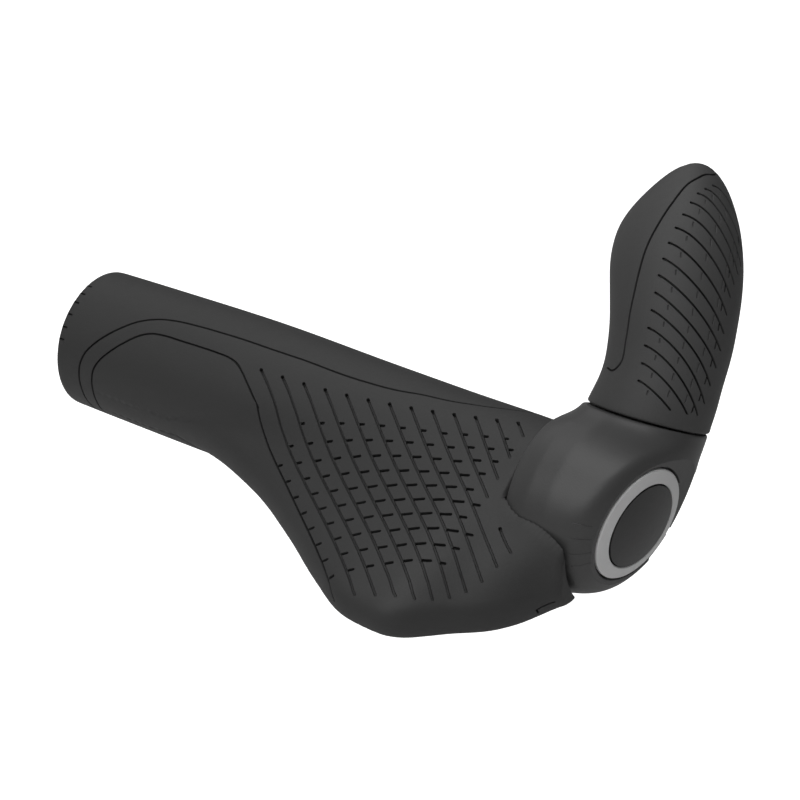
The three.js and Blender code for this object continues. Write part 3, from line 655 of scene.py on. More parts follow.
groove_half = 0.00026
groove_depth = 0.0004
dash_half = 0.00028
dash_depth = 0.0008
dot_half = 0.00034
dot_length = 0.0003
line_half = 0.00019
line_depth = 0.0006
field_length = 0.0737
groove_count = 13
groove_pitch = 0.00595
groove_run = 0.0502
groove_slope = -0.69
lip_margin = 0.003
dash_rows = 10
dash_length = 0.0021
line_join = 0.16
end_mark_degrees = (105, 114, 123, 134, 145, 155)
end_mark_length = 0.0011
rubber_sharp = 65


def groove_ends(i):
    """Plan places where long groove i starts on the barrel's top and ends on the wing."""
    x = grip_length - field_length + groove_pitch * i * (1 - 0.0101 * i)
    y = -barrel_radius * (0.636 - 0.0034 * i * i)
    run = groove_run * (1 - 0.022 * (i - 1) - 0.00328 * (i - 1)**2
                        - 0.012 * max(0, 1 - ((i - 7.5) / 3.5)**2))
    slope = groove_slope
    if i > 9:
        run = grip_length - lip_margin - x
        slope -= 0.07 * (i - 9)
    return np.array((x, y)), np.array((x + run, y + slope * run))


def groove_bow(i):
    start, end = groove_ends(i)
    return (0.0018 - 0.00032 * i) * min(1, (end[0] - start[0]) / (groove_run * 0.62))**2


def row_slope(row):
    return 0.205 + 0.0125 * row + 0.0024 * row * row


def row_line(row, x):
    """Plan y of a row of dashes at x."""
    height = -barrel_radius * (0.602 + 0.1605 * row + 0.0069 * row * row)
    return height + row_slope(row) * (x - grip_length + field_length * 0.327)


def dash_meet(i, row):
    """Plan x where a row of dashes meets groove i and its share of the groove, if they meet."""
    start, end = groove_ends(i)
    rise = (end[1] - start[1]) / (end[0] - start[0])
    meet = (row_line(row, 0) - start[1] + rise * start[0]) / (rise - row_slope(row))
    share = (meet - start[0]) / (end[0] - start[0])
    if 0.04 < share < (0.94 if i < 10 else 0.88) and meet < grip_length - lip_margin:
        return meet, share
    return None


grip_marks = []
for i in range(groove_count + 1):
    start, end = groove_ends(i)
    bow = groove_bow(i)
    plan = [start + (end - start) * t + (0, bow * 4 * t * (1 - t))
            for t in np.linspace(0 if i else line_join, 1, 16)]
    path = curved([at_plan(*spot) for spot in plan], 0.0006)
    if i:
        grip_marks.append((path, groove_half, groove_depth))
        dot = path[:2].copy()
        dot[1] = dot[0] + (dot[1] - dot[0]) * dot_length / np.linalg.norm(dot[1] - dot[0])
        grip_marks.append((dot, dot_half, dash_depth))
    else:
        grip_marks.append((path, line_half, line_depth))
    for row in range(max(0, 2 - i), dash_rows):
        if not dash_meet(i, row):
            continue
        meet, share = dash_meet(i, row)
        y = start[1] + (end[1] - start[1]) * share + bow * 4 * share * (1 - share)
        run = dash_length * (1 - 0.58 * ((row - 5.5) / 5.5)**2) * (1 - 0.6 * ((i - 6.8) / 6.8)**2)
        if not dash_meet(i + 1, row):
            run *= 0.8 - 0.04 * row
        meet += groove_half + dash_half
        path = even([at_plan(meet, y), at_plan(meet + run, y + row_slope(row) * run)], 0.0005)
        grip_marks.append((path, dash_half, dash_depth))

# Two fine lines edge the palm's area, as shares of the grip's length and degrees about the bar
outer_line = [(0.9, 262), (0.45, 262), (0.11, 256), (0.068, 238), (0.061, 219), (0.059, 206),
              (0.059, 193), (0.059, 180.5), (0.063, 168.6), (0.073, 158.4), (0.09, 149.1),
              (0.1125, 139.4), (0.1354, 130.8), (0.161, 122.4), (0.184, 117.2), (0.208, 113.6),
              (0.242, 110.9), (0.28, 109.6), (0.333, 108.6), (0.43, 107.9), (0.55, 107.3),
              (0.66, 106.6), (0.716, 104), (0.76, 99.5), (0.836, 92.6), (0.888, 84), (0.92, 75),
              (0.943, 65), (0.96, 55), (0.975, 44)]
inner_line = [(0.49, 216), (0.3, 236), (0.12, 238), (0.087, 219), (0.088, 204), (0.089, 191),
              (0.091, 180), (0.096, 170), (0.109, 160.7), (0.129, 151.4), (0.151, 142.6),
              (0.17, 135.6), (0.187, 130.8), (0.204, 127.9), (0.228, 126.5), (0.268, 126.2),
              (0.309, 125.9), (0.35, 125.9), (0.383, 126.7), (0.402, 128.9), (0.416, 132.6),
              (0.436, 139.4), (0.476, 155.2)]
for line in (outer_line, inner_line):
    path = curved([at_angle(share * grip_length, degrees) for share, degrees in line], 0.0007)
    grip_marks.append((path, line_half, line_depth))
for degrees in end_mark_degrees:
    path = even([at_angle(x, degrees) for x in (rim_round, rim_round + end_mark_length)], 0.0005)
    grip_marks.append((path, line_half, line_depth))
groove_tail = even([at_plan(0.1265, -0.0215), at_plan(0.1307, -0.0238)], 0.0004)
grip_marks += [(groove_tail, groove_half, groove_depth), (groove_tail[:2], dot_half, dash_depth)]
for end in (at_angle(0.1372, 210), at_angle(0.1398, 207)):
    grip_marks.append((even([at_angle(0.1372, 207), end], 0.0005), line_half, line_depth))

lip_u = grip_length - rim_round + rim_run
lip_levels = [lip_u - lip_round * share for share in (1.0, 0.6, 0.3, 0.08, 0.0)]
grip_body, grip_skin = moulded_skin(on_skin, sheet_length, sheet_breadth, 0.0011, grip_marks,
                                    lip_levels)
core_seat = core_start - fit
bore = turned([(-0.001, 0), (-0.001, bar_radius), (core_seat, bar_radius), (core_seat, bore_radius),
               (grip_length + 0.001, bore_radius), (grip_length + 0.001, 0)])
room_x = np.linspace(grip_length, grip_end + 0.002, 60)
room = turned([(grip_length, 0)] + [(x, room_radius(x)) for x in room_x] + [(room_x[-1], 0)])
grip_mesh = carved(grip_body, ("DIFFERENCE", bore), ("DIFFERENCE", room))


def painted_groove_shade(mesh, skin_record):
    """Point attribute that grows from 0 on the plain skin to 1 in the deepest marks, for shade
    painted into them.
    """
    tree, _, sunk = skin_record
    deep = np.zeros(len(mesh.vertices))
    for k, vertex in enumerate(mesh.vertices):
        _, nearest, apart = tree.find(vertex.co)
        if apart < 2e-6:
            deep[k] = sunk[nearest] / dash_depth
    attribute = mesh.attributes.new("painted_groove_shade", "FLOAT", "POINT")
    attribute.data.foreach_set("value", deep.astype(np.float32))


def moulded_rubber(name, level):
    """Matt rubber: a soft, slightly blotchy black with a fine grain, and painted shade darkening
    its grooves and dashes.
    """
    finish = Finish(name, 0.62)
    fine = finish.place.noise(0.0004, 3.0)
    broad = finish.place.noise(0.018, 2.0, 2.0)
    cloud = finish.place.noise(0.004, 3.0, 7.0)
    sunk = finish.place.node("Attribute", {"attribute_name": "painted_groove_shade"}, output="Fac")
    shade = broad * 0.5 + cloud * 0.5
    skin_colour = shade.mixed(grey(level * 0.93), grey(level * 1.07))
    # Painted shade: the base colour fades towards near-black as the marks deepen, standing in for
    # the shade inside grooves and dashes.
    finish.vary("Base Color", sunk.node("Mix", {"data_type": "RGBA"}, {
        "Factor": sunk, 6: skin_colour, 7: grey(level * 0.12)}, 2))
    finish.vary("Roughness", cloud * 0.12 + fine * 0.08 + 0.5)
    finish.bump(fine, 0.00003)
    return finish.material


painted_groove_shade(grip_mesh, grip_skin)
piece("grip_rubber", grip_mesh, "grip", moulded_rubber("grip_rubber", 0.047),
      "rubber_grip", rubber_sharp, grip_skin)


# Bar end's shell
# One hard, finely textured plastic moulding: the collar that clamps round the core, the curved
# root of the arm with the stalk that carries the rubber sleeve, and the clamp boss below.

seam_reach = 0.0237
seam_lean = math.radians(33.5)
arm_tilt = math.radians(64)
arm_length = 0.0552
arm_width = 0.0274
arm_depth = 0.0248
seam_gap = 0.0004
sleeve_wall = 0.0046
stalk_length = 0.043
cap_radius = 0.0142
cap_thick = 0.003
cap_dome = 0.0019
ring_outer = 0.0129
ring_width = 0.003
ring_thick = 0.0009
flange_drop = 0.0016
cap_x = collar_start + collar_width
cap_centre = np.array((cap_x, 0, 0))
cap_way = np.array((1, -math.tan(math.radians(10.4)), -math.tan(math.radians(7.5))))
cap_way /= np.linalg.norm(cap_way)
cap_place = Matrix.Translation(cap_centre) @ Vector((1, 0, 0)).rotation_difference(
    Vector(cap_way)).to_matrix().to_4x4()
clamp_turn = math.radians(-32)
clamp_x = collar_start + collar_width * 0.44
bolt_radius = 0.0025
bolt_reach = bore_radius + 0.002 + bolt_radius + fit
boss_radius = bolt_radius + fit + 0.003
slit_half = 0.0008
seat_height = slit_half + 0.003
boss_half = seat_height + 0.003
clamp_place = (Matrix.Rotation(clamp_turn, 4, "X") @ Matrix.Translation((clamp_x, bolt_reach, 0))
               @ Matrix.Rotation(-math.pi / 2, 4, "Y"))
boss_centre = np.array(Matrix.Rotation(clamp_turn, 3, "X") @ Vector((clamp_x, bolt_reach, 0)))
boss_way = np.array(Matrix.Rotation(clamp_turn, 3, "X") @ Vector((0, 0, 1)))

arm_way = np.array((0, math.cos(arm_tilt), math.sin(arm_tilt)))
arm_rear = np.cross((1, 0, 0), arm_way)
seam_centre = np.array((grip_length + 0.0129, seam_reach * math.cos(seam_lean),
                        seam_reach * math.sin(seam_lean)))
rim_share = smooth_curve((-0.5, 1.36), (-0.35, 1.16), (-0.22, 1.06), (-0.13, 0.965),
                         (-0.066, 0.865), (0, 0.707), (0.1, 0.5))


def soft_min(a, b, width):
    h = np.maximum(width - abs(a - b), 0) / width
    return np.minimum(a, b) - h * h * width / 4


def root_steps():
    """Places and directions along the curve from the bar's axis to the seam."""
    ends = [np.array((seam_centre[0] - 0.001, 0, 0)), seam_centre - 0.5 * seam_reach * arm_way,
            seam_centre + 0.15 * seam_reach * arm_way]
    for t in np.linspace(0, 1, 25):
        way = 2 * (1 - t) * (ends[1] - ends[0]) + 2 * t * (ends[2] - ends[1])
        middle = (1 - t)**2 * ends[0] + 2 * t * (1 - t) * ends[1] + t * t * ends[2]
        yield middle, way / np.linalg.norm(way)


root = list(root_steps())


def shell_field(p):
    """Below zero inside the collar, root and boss, which run together with soft valleys."""
    offset = p - cap_centre
    height = offset @ cap_way
    from_axis = np.linalg.norm(offset - height[:, None] * cap_way, axis=1)
    side = np.hypot(p[:, 1], p[:, 2]) - collar_profile(p[:, 0])
    end = from_axis - collar_radius * rim_share(height / collar_width)
    collar = np.maximum.reduce([-soft_min(-side, -end, 0.002), grip_length - 0.002 - p[:, 0],
                                height - 0.003])
    best = np.full(len(p), np.inf)
    for middle, way in root:
        from_root = p - middle
        size = np.sqrt((from_root[:, 0] / (arm_width / 2))**2
                       + (from_root @ np.cross((1, 0, 0), way) / (arm_depth / 2))**2
                       + (from_root @ way / (arm_depth / 2))**2)
        best = np.minimum(best, (size - 1) * arm_depth / 2)
    from_boss = p - boss_centre
    along = np.clip(from_boss @ boss_way, -boss_half, boss_half)
    boss = np.linalg.norm(from_boss - along[:, None] * boss_way, axis=1) - boss_radius
    return soft_min(soft_min(collar, best, 0.007), boss, 0.004)


def shell_surface(ways, heart):
    """Places where rays from a point inside the shell leave it."""
    near = np.zeros(len(ways))
    for _ in range(40):
        inside = shell_field(heart + ways * (near + 0.001)[:, None]) < 0
        near += 0.001 * inside
    far = near + 0.001
    for _ in range(14):
        half = (near + far) / 2
        inside = shell_field(heart + ways * half[:, None]) < 0
        near, far = np.where(inside, half, near), np.where(inside, far, half)
    return heart + ways * near[:, None]


heart = np.array((collar_start + collar_width * 0.5, seam_reach * 0.15, seam_reach * 0.1))
rows, spokes = 150, 240
polar = math.pi * np.arange(1, rows) / rows
turns = math.tau * np.arange(spokes) / spokes
rays = np.stack(np.broadcast_arrays(-np.cos(polar)[:, None],
                                    np.sin(polar)[:, None] * np.cos(turns),
                                    np.sin(polar)[:, None] * np.sin(turns)), -1).reshape(-1, 3)
shell_points = shell_surface(rays, heart)
shell_body = bmesh.new()
verts = [shell_body.verts.new(point) for point in shell_points]
bridged(shell_body, [verts[k:k + spokes] for k in range(0, len(verts), spokes)])
closed_up(shell_body)


def cut_round(mesh, place, way, rounding):
    """Cuts a body off flat at a plane and rounds the edge that this leaves."""
    place, way = Vector(place), Vector(way)
    for share in (1, 0.7, 0.45, 0.25, 0.1, 0.02, 0):
        everything = mesh.verts[:] + mesh.edges[:] + mesh.faces[:]
        bmesh.ops.bisect_plane(mesh, geom=everything, dist=1e-7, plane_no=way,
                               plane_co=place - way * rounding * share, clear_outer=share == 0)
    close = [vertex for vertex in mesh.verts if (vertex.co - place).dot(way) > -rounding]
    if rounding:
        co = np.array([vertex.co for vertex in close])
        step = 1e-5
        slope = np.stack([shell_field(co + axis * step) - shell_field(co - axis * step)
                          for axis in np.eye(3)], -1)
        slope -= (slope @ np.array(way))[:, None] * np.array(way)
        slope /= np.linalg.norm(slope, axis=1)[:, None]
        depth = np.clip(-(co - np.array(place)) @ np.array(way), 0, rounding)
        inward = rounding - np.sqrt(rounding**2 - (rounding - depth)**2)
        for vertex, moved in zip(close, co - slope * inward[:, None]):
            vertex.co = moved
    closed_up(mesh)


cut_round(shell_body, (collar_start, 0, 0), (-1, 0, 0), 0.0005)
cut_round(shell_body, seam_centre, arm_way, 0.0005)
cut_round(shell_body, cap_centre - 0.0002 * cap_way, cap_way, 0)


def block(low, high, place=Matrix()):
    """Box by its corners, put in place."""
    mesh = bmesh.new()
    bmesh.ops.create_cube(mesh, size=1)
    low, high = Vector(low), Vector(high)
    size = Matrix.Diagonal((*(high - low), 1))
    mesh.transform(place @ Matrix.Translation((low + high) / 2) @ size)
    return mesh


def rod(low, high, radius, place, facets=64):
    """Round rod along X between two places, put in place."""
    mesh = turned([(low, 0), (low, radius), (high, radius), (high, 0)], facets)
    mesh.transform(place)
    return mesh


# Shares of the arm's length against its sideways sway, half width and half depth. The last two
# are told apart from the round closing of the tip.
arm_sway = smooth_curve((0, 0), (0.145, 0.075), (0.29, 0.048), (0.436, -0.056), (0.58, -0.188),
                        (0.727, -0.27), (0.8, -0.278), (0.94, -0.31), (1, -0.336))
arm_lean = smooth_curve((0, 0), (0.36, 0), (0.727, -0.08), (1, -0.24))
width_share = smooth_curve((0, 1), (0.145, 1.03), (0.29, 1.175), (0.436, 1.4), (0.58, 1.675),
                           (0.727, 1.855), (0.8, 1.865), (0.873, 1.81), (0.94, 1.78), (1, 1.7))
depth_share = smooth_curve((0, 1), (0.18, 1.049), (0.455, 1.333), (0.655, 1.675), (0.8, 1.878),
                           (0.91, 2.04), (1, 2.25))


def arm_eased(curve, share):
    spread = np.linspace(-1, 1, 11)
    weight = (1 - spread**2) / (1 - spread**2).sum()
    return curve(np.asarray(share)[..., None] + spread * 0.07) @ weight


def arm_half_width(share):
    return arm_eased(width_share, share) * np.sqrt(np.maximum(1 - share, 0))


def arm_half_depth(share):
    return arm_eased(depth_share, share) * np.sqrt(np.maximum(1 - share, 0))


def arm_points(share, degrees, inset):
    """Points on the arm at shares of its length and angles from the outboard side to the rear."""
    angle = np.radians(degrees)
    across = np.maximum(arm_width / 2 * arm_half_width(share) - inset, 0.0002)
    back = np.maximum(arm_depth / 2 * arm_half_depth(share) - inset, 0.0002)
    sideways = arm_width / 2 * arm_eased(arm_sway, share) + across * np.cos(angle)
    rearways = arm_depth / 2 * arm_eased(arm_lean, share) + back * np.sin(angle)
    return (seam_centre + np.multiply.outer(share * arm_length, arm_way)
            + np.multiply.outer(sideways, (1, 0, 0)) + np.multiply.outer(rearways, arm_rear))


def arm_core(start, end, inset, facets=64):
    """Body inside the arm. Before the seam it runs on with the seam's section."""
    mesh = bmesh.new()
    rings = []
    for stop in [start, *np.linspace(max(start, 0), end, 24)]:
        angles = np.linspace(0, 360, facets, endpoint=False)
        share = np.full(facets, max(stop, 0) / arm_length)
        points = arm_points(share, angles, inset) + arm_way * min(stop, 0)
        rings.append([mesh.verts.new(point) for point in points])
    bridged(mesh, rings)
    closed_up(mesh)
    return mesh


mark_from = collar_start + collar_width * 0.72
mark_to = collar_start + collar_width * 0.875
mark_half = 0.0002
mark_depth = 0.00014
mark_degrees = (158.3, 169.3, 182.3, 193.5)


def shell_radius(x, degrees):
    """Distance of the shell's surface from the bar's axis."""
    near, far = core_radius, 0.03
    for _ in range(24):
        half = (near + far) / 2
        angle = math.radians(degrees)
        inside = shell_field(np.array([[x, half * math.cos(angle), half * math.sin(angle)]]))[0] < 0
        near, far = (half, far) if inside else (near, half)
    return near


def angle_marks():
    """Cutter for the fine marks beside the cap, which show the bar end's angle."""
    mesh = bmesh.new()
    sides = 8
    for degrees in mark_degrees:
        out = Vector((0, math.cos(math.radians(degrees)), math.sin(math.radians(degrees))))
        across = Vector((0, -out.z, out.y))
        rings = []
        for x in np.linspace(mark_from, mark_to, 9):
            middle = Vector((x, 0, 0)) + out * (shell_radius(x, degrees) + mark_half - mark_depth)
            rings.append([mesh.verts.new(middle + mark_half * (math.cos(turn) * out
                                                               + math.sin(turn) * across))
                          for turn in math.tau / sides * np.arange(sides)])
        bridged(mesh, rings)
    closed_up(mesh)
    return mesh


far = 0.08
head_radius = bolt_radius * 1.7
nut_width = bolt_radius * 3.2
cut_end = boss_half + boss_radius
pocket = nut_width / 2 + fit
seat = turned([(-2 * cap_thick, 0), (-2 * cap_thick, bore_radius - 0.001),
               (-cap_thick - fit, bore_radius - 0.001), (-cap_thick - fit, cap_radius + fit),
               (fit - flange_drop, cap_radius + fit), (fit - flange_drop, ring_outer + fit),
               (cap_thick, ring_outer + fit + 0.001), (cap_thick, 0)])
seat.transform(cap_place)
shell_mesh = carved(
    shell_body,
    ("UNION", arm_core(-0.003, stalk_length, sleeve_wall + fit)),
    ("DIFFERENCE", turned([(grip_length - 0.001, 0), (grip_length - 0.001, bore_radius),
                           (core_end + 0.001, bore_radius),
                           (cap_x - cap_thick, bore_radius - 0.001), (cap_x - cap_thick, 0)])),
    ("DIFFERENCE", block((-0.0018, ring_outer * 0.5, -far), (far, far, ring_outer * 0.4),
                         cap_place)),
    ("DIFFERENCE", seat),
    ("DIFFERENCE", block((grip_length - 0.001, bore_radius - 0.002, -slit_half),
                         (cap_x + 0.005, bolt_reach + boss_radius + 0.006, slit_half),
                         Matrix.Rotation(clamp_turn, 4, "X"))),
    ("DIFFERENCE", rod(-seat_height - 0.001, seat_height + 0.001, bolt_radius + fit, clamp_place)),
    ("DIFFERENCE", rod(-cut_end, -seat_height, head_radius + 2 * fit, clamp_place)),
    ("DIFFERENCE", block((seat_height, -pocket, -pocket), (cut_end, pocket, pocket), clamp_place)),
    ("DIFFERENCE", angle_marks()))
piece("bar_end_moulding", shell_mesh, "bar_end",
      moulded_plastic("shell_plastic", 0.074, 0.42, 0.00035), "bar_end_shell")


# Bar end's sleeve
# Soft rubber over the shell's stalk, closed at its tip. Curved grooves start beside a fine line
# at the rear and sweep outboard and down the arm.

sleeve_round = 0.0005
sleeve_tip = 0.9999
sleeve_seam = -110
tip_run = sleeve_tip * arm_length - seam_gap
round_run = sleeve_round * math.pi / 2
sleeve_length = round_run + tip_run - sleeve_round
sleeve_breadth = math.pi * (arm_width + arm_depth) / 2


def on_sleeve(u, w):
    """Points of the plain sleeve: u runs round its lower edge and up the arm, w round it."""
    turn = np.clip(u / sleeve_round, 0, math.pi / 2)
    up = np.where(u < round_run, sleeve_round * (1 - np.cos(turn)), u - round_run + sleeve_round)
    inset = sleeve_round * (1 - np.sin(turn))
    return arm_points((seam_gap + up) / arm_length, sleeve_seam + 360 * w / sleeve_breadth, inset)


def on_arm(share, degrees):
    """Sheet place at a share of the arm's length and an angle about it."""
    u = share * arm_length - seam_gap - sleeve_round + round_run
    return u, (degrees - sleeve_seam) / 360 * sleeve_breadth


sleeve_grooves = 15
groove_lead = smooth_curve((0, 88.5), (2, 90), (5, 85), (8, 78.5), (10, 72), (12, 60), (13, 49),
                           (14, 33))
groove_high = smooth_curve((0, 0.15), (8, 0.681), (10, 0.797), (12, 0.887), (14, 0.93))
groove_fall = smooth_curve((0, 0.185), (2, 0.212), (5, 0.219), (8, 0.248), (10, 0.262), (14, 0.29))
groove_power = smooth_curve((0, 1.45), (2, 1.6), (5, 1.34), (7, 1.5), (10, 2.1), (14, 2.35))
groove_sweep = smooth_curve((0, 37.5), (1, 56), (2, 68.8), (3, 72), (6, 68), (9, 62), (12, 64),
                            (14, 54))
fine_half = 0.00017
start_half = 0.00022
tick_half = 0.00018
tick_depth = 0.00022
fork_back = 8
fork_start = 0.006
fork_length = 0.03
tick_rows = [(12, 0.014), (32, 0.022), (50.5, 0.03)]
sleeve_marks = []
for i in range(sleeve_grooves):

    def share_at(sweep):
        return groove_high(i) - groove_fall(i) * (sweep / 70)**groove_power(i)

    sweep = np.linspace(0, groove_sweep(i), 14)
    path = curved([on_arm(share_at(turn), groove_lead(i) - turn) for turn in sweep], 0.0006)
    sleeve_marks.append((path, fine_half, dash_depth))
    sleeve_marks.append((even(path[:2], 0.0004), start_half, dash_depth))
    if i > 1:
        turn = groove_sweep(i) - fork_back
        fork = [on_arm(share_at(turn) - drop, groove_lead(i) - turn)
                for drop in (fork_start, fork_length)]
        sleeve_marks.append((even(fork, 0.0006), fine_half, dash_depth))
    for turn, run in tick_rows:
        if turn + 8 < groove_sweep(i):
            low = share_at(turn) - 0.013
            tick = [on_arm(low, groove_lead(i) - turn), on_arm(low - run, groove_lead(i) - turn)]
            sleeve_marks.append((even(tick, 0.0006), tick_half, tick_depth))
sleeve_line = [(0.156, 134), (0.156, 121), (0.19, 113.5), (0.285, 111.8), (0.379, 109.6),
               (0.458, 105.7), (0.551, 101.2), (0.645, 97.5), (0.727, 93.6), (0.822, 88.7),
               (0.908, 79.4), (0.95, 60), (0.97, 20), (0.973, -23), (0.94, -60), (0.85, -75),
               (0.7, -82), (0.4, -88), (0.16, -92)]
sleeve_path = curved([on_arm(*spot) for spot in sleeve_line], 0.0006)
sleeve_marks.append((sleeve_path, line_half, line_depth))
sleeve_levels = [round_run * 0.25, round_run * 0.6, round_run]
sleeve_levels += [sleeve_length - gap for gap in (0.0006, 0.00025, 0.0001, 0.00003)]
sleeve_body, sleeve_skin = moulded_skin(on_sleeve, sleeve_length, sleeve_breadth, 0.0009,
                                        sleeve_marks, sleeve_levels)
sleeve_mesh = carved(sleeve_body, ("DIFFERENCE", arm_core(-0.001, stalk_length + fit, sleeve_wall)))
painted_groove_shade(sleeve_mesh, sleeve_skin)
piece("bar_end_rubber", sleeve_mesh, "bar_end",
      moulded_rubber("sleeve_rubber", 0.076), "bar_end_sleeve", rubber_sharp, sleeve_skin)


# Clamp hardware
# A zinc-plated M5 socket screw closes the collar. A washer lies under its head, and a square nut
# sits in a pocket of the upper lug.

washer_thick = 0.0009
washer_edge = 0.00015
bolt_length = 0.012
steel_sharp = 35


def plated_steel(name):
    """Zinc-plated steel: bright grey with a faint cloudy passivation and fine turning marks."""
    finish = Finish(name, 0.32, metallic=1.0)
    cloud = finish.place.noise(0.0015, 3.0)
    fine = finish.place.noise(0.0002, 2.0, 3.0)
    finish.vary("Base Color", cloud.mixed(grey(0.38), grey(0.52)))
    finish.vary("Roughness", cloud * 0.2 + 0.24)
    finish.bump(fine, 0.00001)
    return finish.material


steel = plated_steel("steel")


def bevelled(mesh, width, degrees=40):
    """Rounds the sharp edges of a small hard piece."""
    sharp = [edge for edge in mesh.edges if edge.is_manifold
             and edge.calc_face_angle() > math.radians(degrees)]
    bmesh.ops.bevel(mesh, geom=sharp, offset=width, segments=2, profile=0.5, affect="EDGES",
                    clamp_overlap=True)
    return mesh


under = -seat_height - 2 * fit - washer_thick
head_top = under - 2 * bolt_radius
tip = under + bolt_length
pitch = 0.0008
thread = []
for k in range(int((bolt_length - 0.002) / pitch)):
    start = under + 0.0015 + pitch * k
    thread += [(start, bolt_radius), (start + pitch * 0.5, bolt_radius - pitch * 0.45)]
bolt_body = turned([(head_top, 0), (head_top, head_radius - 0.0004),
                    (head_top + 0.0004, head_radius), (under, head_radius),
                    (under, bolt_radius), *thread,
                    (tip - 0.0005, bolt_radius), (tip, bolt_radius - 0.0006), (tip, 0)], 96)
hexagon = turned([(head_top - 0.001, 0), (head_top - 0.001, 0.0023), (head_top + 0.0025, 0.0023),
                  (head_top + 0.0035, 0)], 6)
bolt_mesh = carved(bolt_body, ("DIFFERENCE", hexagon))
bolt_mesh.transform(clamp_place)
piece("clamp_screw", bolt_mesh, "bar_end", steel, "clamp_bolt", steel_sharp)

washer_low = -seat_height - fit - washer_thick
hole_radius = bolt_radius + fit
washer_high = washer_low + washer_thick
washer_body = turned([(washer_low, 0), (washer_low, head_radius - washer_edge),
                      (washer_low + washer_edge, head_radius),
                      (washer_high - washer_edge, head_radius),
                      (washer_high, head_radius - washer_edge), (washer_high, 0)], 96)
washer_mesh = carved(washer_body, ("DIFFERENCE", rod(washer_low - 0.001, washer_low + 0.002,
                                                     hole_radius, Matrix())))
washer_mesh.transform(clamp_place)
piece("clamp_washer_ring", washer_mesh, "bar_end", steel, "clamp_washer", steel_sharp)

nut_low = seat_height + fit
nut_thick = bolt_radius * 1.08
nut_body = bevelled(block((nut_low, -nut_width / 2, -nut_width / 2),
                          (nut_low + nut_thick, nut_width / 2, nut_width / 2)), 0.0003)
nut_mesh = carved(nut_body, ("DIFFERENCE", rod(nut_low - 0.001, nut_low + nut_thick + 0.001,
                                               hole_radius, Matrix())))
nut_mesh.transform(clamp_place)
piece("clamp_square_nut", nut_mesh, "bar_end", steel, "clamp_nut", steel_sharp)


# End cap and ring
# A dark, domed plastic disc is pressed into the collar's outer end, and a thin grey ring lies
# in a shallow seat round it.


def dome(radius):
    return cap_dome * (1 - (radius / ring_outer)**2)


def satin_plastic(name, level, roughness):
    """Smooth satin plastic with a faint orange-peel surface."""
    finish = Finish(name, roughness)
    peel = finish.place.noise(0.0011, 2.0)
    broad = finish.place.noise(0.009, 2.0, 5.0)
    finish.vary("Base Color", broad.mixed(grey(level * 0.95), grey(level * 1.05)))
    finish.vary("Roughness", peel * 0.1 + (roughness - 0.05))
    finish.bump(peel, 0.00001)
    return finish.material


ring_seat = ring_outer - ring_width - fit
cap_profile = [(-cap_thick - 0.0015, 0), (-cap_thick - 0.0015, bar_radius - 0.001),
               (-cap_thick, bar_radius - 0.001), (-cap_thick, cap_radius),
               (-flange_drop, cap_radius), (-flange_drop, ring_outer),
               (-ring_thick - fit, ring_outer - fit),
               (-ring_thick - fit + dome(ring_seat), ring_seat)]
cap_profile += [(dome(radius), radius) for radius in ring_seat * np.linspace(1, 0, 16)]
cap_body = turned(cap_profile)
cap_body.transform(cap_place)
piece("domed_cap", cap_body, "bar_end", satin_plastic("cap_plastic", 0.038, 0.42),
      "end_cap")

ring_inner = ring_outer - ring_width
edge_round = 0.0002
ring_rows = [(dome(ring_outer) - edge_round, ring_outer)]
ring_rows += [(dome(radius), radius) for radius in
              np.linspace(ring_outer - edge_round, ring_inner + edge_round, 10)]
ring_rows += [(dome(ring_inner) - edge_round, ring_inner),
              (dome(ring_inner) - ring_thick, ring_inner), (-ring_thick, ring_outer)]
ring_body = turned(ring_rows, closed=True)
ring_body.transform(cap_place)
piece("grey_ring", ring_body, "bar_end", satin_plastic("ring_plastic", 0.86, 0.4),
      "cap_ring")


# Studio
# A pale floor well below the part, broad soft lamps overhead and on the camera's side, and two
# weak fills. The camera stands where the photograph's did.

floor_level = cad_box[0][2] - 0.05
floor_mesh = bpy.data.meshes.new("floor")
reach = 3
corners = [(-reach, -reach), (reach, -reach), (reach, reach), (-reach, reach)]
floor_mesh.from_pydata([(*corner, floor_level) for corner in corners], [], [(0, 1, 2, 3)])
floor = bpy.data.objects.new("floor", floor_mesh)
bpy.context.scene.collection.objects.link(floor)
paper = Finish("paper", 0.9)
paper.shader.inputs["Base Color"].default_value = grey(0.8)
seen = paper.place.node("LightPath", output="Is Camera Ray")
paper.shader.inputs["Emission Strength"].default_value = 1
paper.vary("Emission Color", seen.mixed(grey(0), grey(1)))
floor_mesh.materials.append(paper.material)

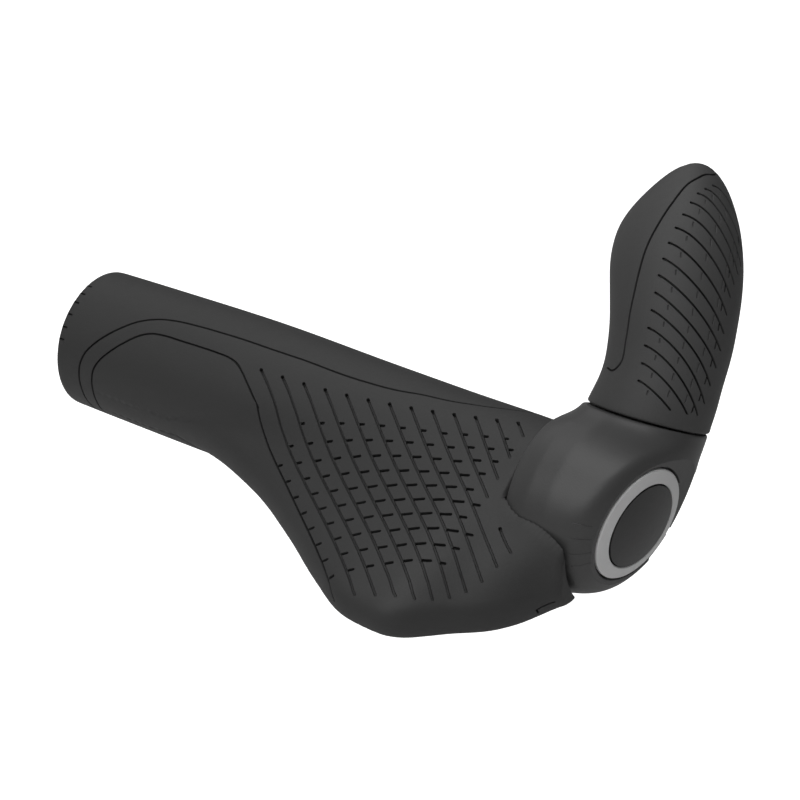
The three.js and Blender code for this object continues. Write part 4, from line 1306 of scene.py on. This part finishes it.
world = bpy.data.worlds.new("studio")
bpy.context.scene.world = world
world.use_nodes = True
background = world.node_tree.nodes["Background"]
sky = Wire(world.node_tree)
rays = sky.node("LightPath", output="Is Camera Ray")
world.node_tree.links.new((rays * 0.92 + 0.08).socket, background.inputs["Strength"])
background.inputs["Color"].default_value = grey(1.0)


lit_middle = Vector((0.08, 0, 0))
lamp_size = 0.8


def lamp(name, place, power):
    """Soft round lamp aimed at the middle of the part."""
    light = bpy.data.lights.new(name, "AREA")
    light.shape = "DISK"
    light.size = lamp_size
    light.energy = power
    thing = bpy.data.objects.new(name, light)
    thing.location = place
    thing.rotation_euler = (lit_middle - Vector(place)).to_track_quat("-Z", "Y").to_euler()
    bpy.context.scene.collection.objects.link(thing)


lamp("overhead", (0.08, 0, 1), 3)
lamp("front", (0.08, -0.7, 0.7), 3)
lamp("rear", (-0.32, 0.4, 0.57), 0.8)
lamp("left", (-0.9, 0, 0.15), 0.4)

# The camera stands where the photograph's did: to the right of straight ahead and above
azimuth = math.radians(34.86)
elevation = math.radians(28.59)
distance = 0.55736
focal_pixels = 2500
frame_pixels = 800
aim = Vector((0.0735, 0, 0))
aim_pixel = (352.28, 426.19)
right = Vector((math.cos(azimuth), math.sin(azimuth), 0))
up = Vector((-math.sin(azimuth) * math.sin(elevation), math.cos(azimuth) * math.sin(elevation),
             math.cos(elevation)))
back = right.cross(up)
metres_per_pixel = distance / focal_pixels
location = (aim + back * distance - right * (aim_pixel[0] - frame_pixels / 2) * metres_per_pixel
            + up * (aim_pixel[1] - frame_pixels / 2) * metres_per_pixel)
lens = bpy.data.cameras.new("camera")
lens.sensor_width = 36
lens.lens = lens.sensor_width * focal_pixels / frame_pixels
lens.clip_start = 0.01
camera = bpy.data.objects.new("camera", lens)
turn = Matrix((right, up, back)).transposed().to_4x4()
camera.matrix_world = Matrix.Translation(location) @ turn
bpy.context.scene.collection.objects.link(camera)
bpy.context.scene.camera = camera
bpy.context.scene.view_settings.view_transform = "Standard"
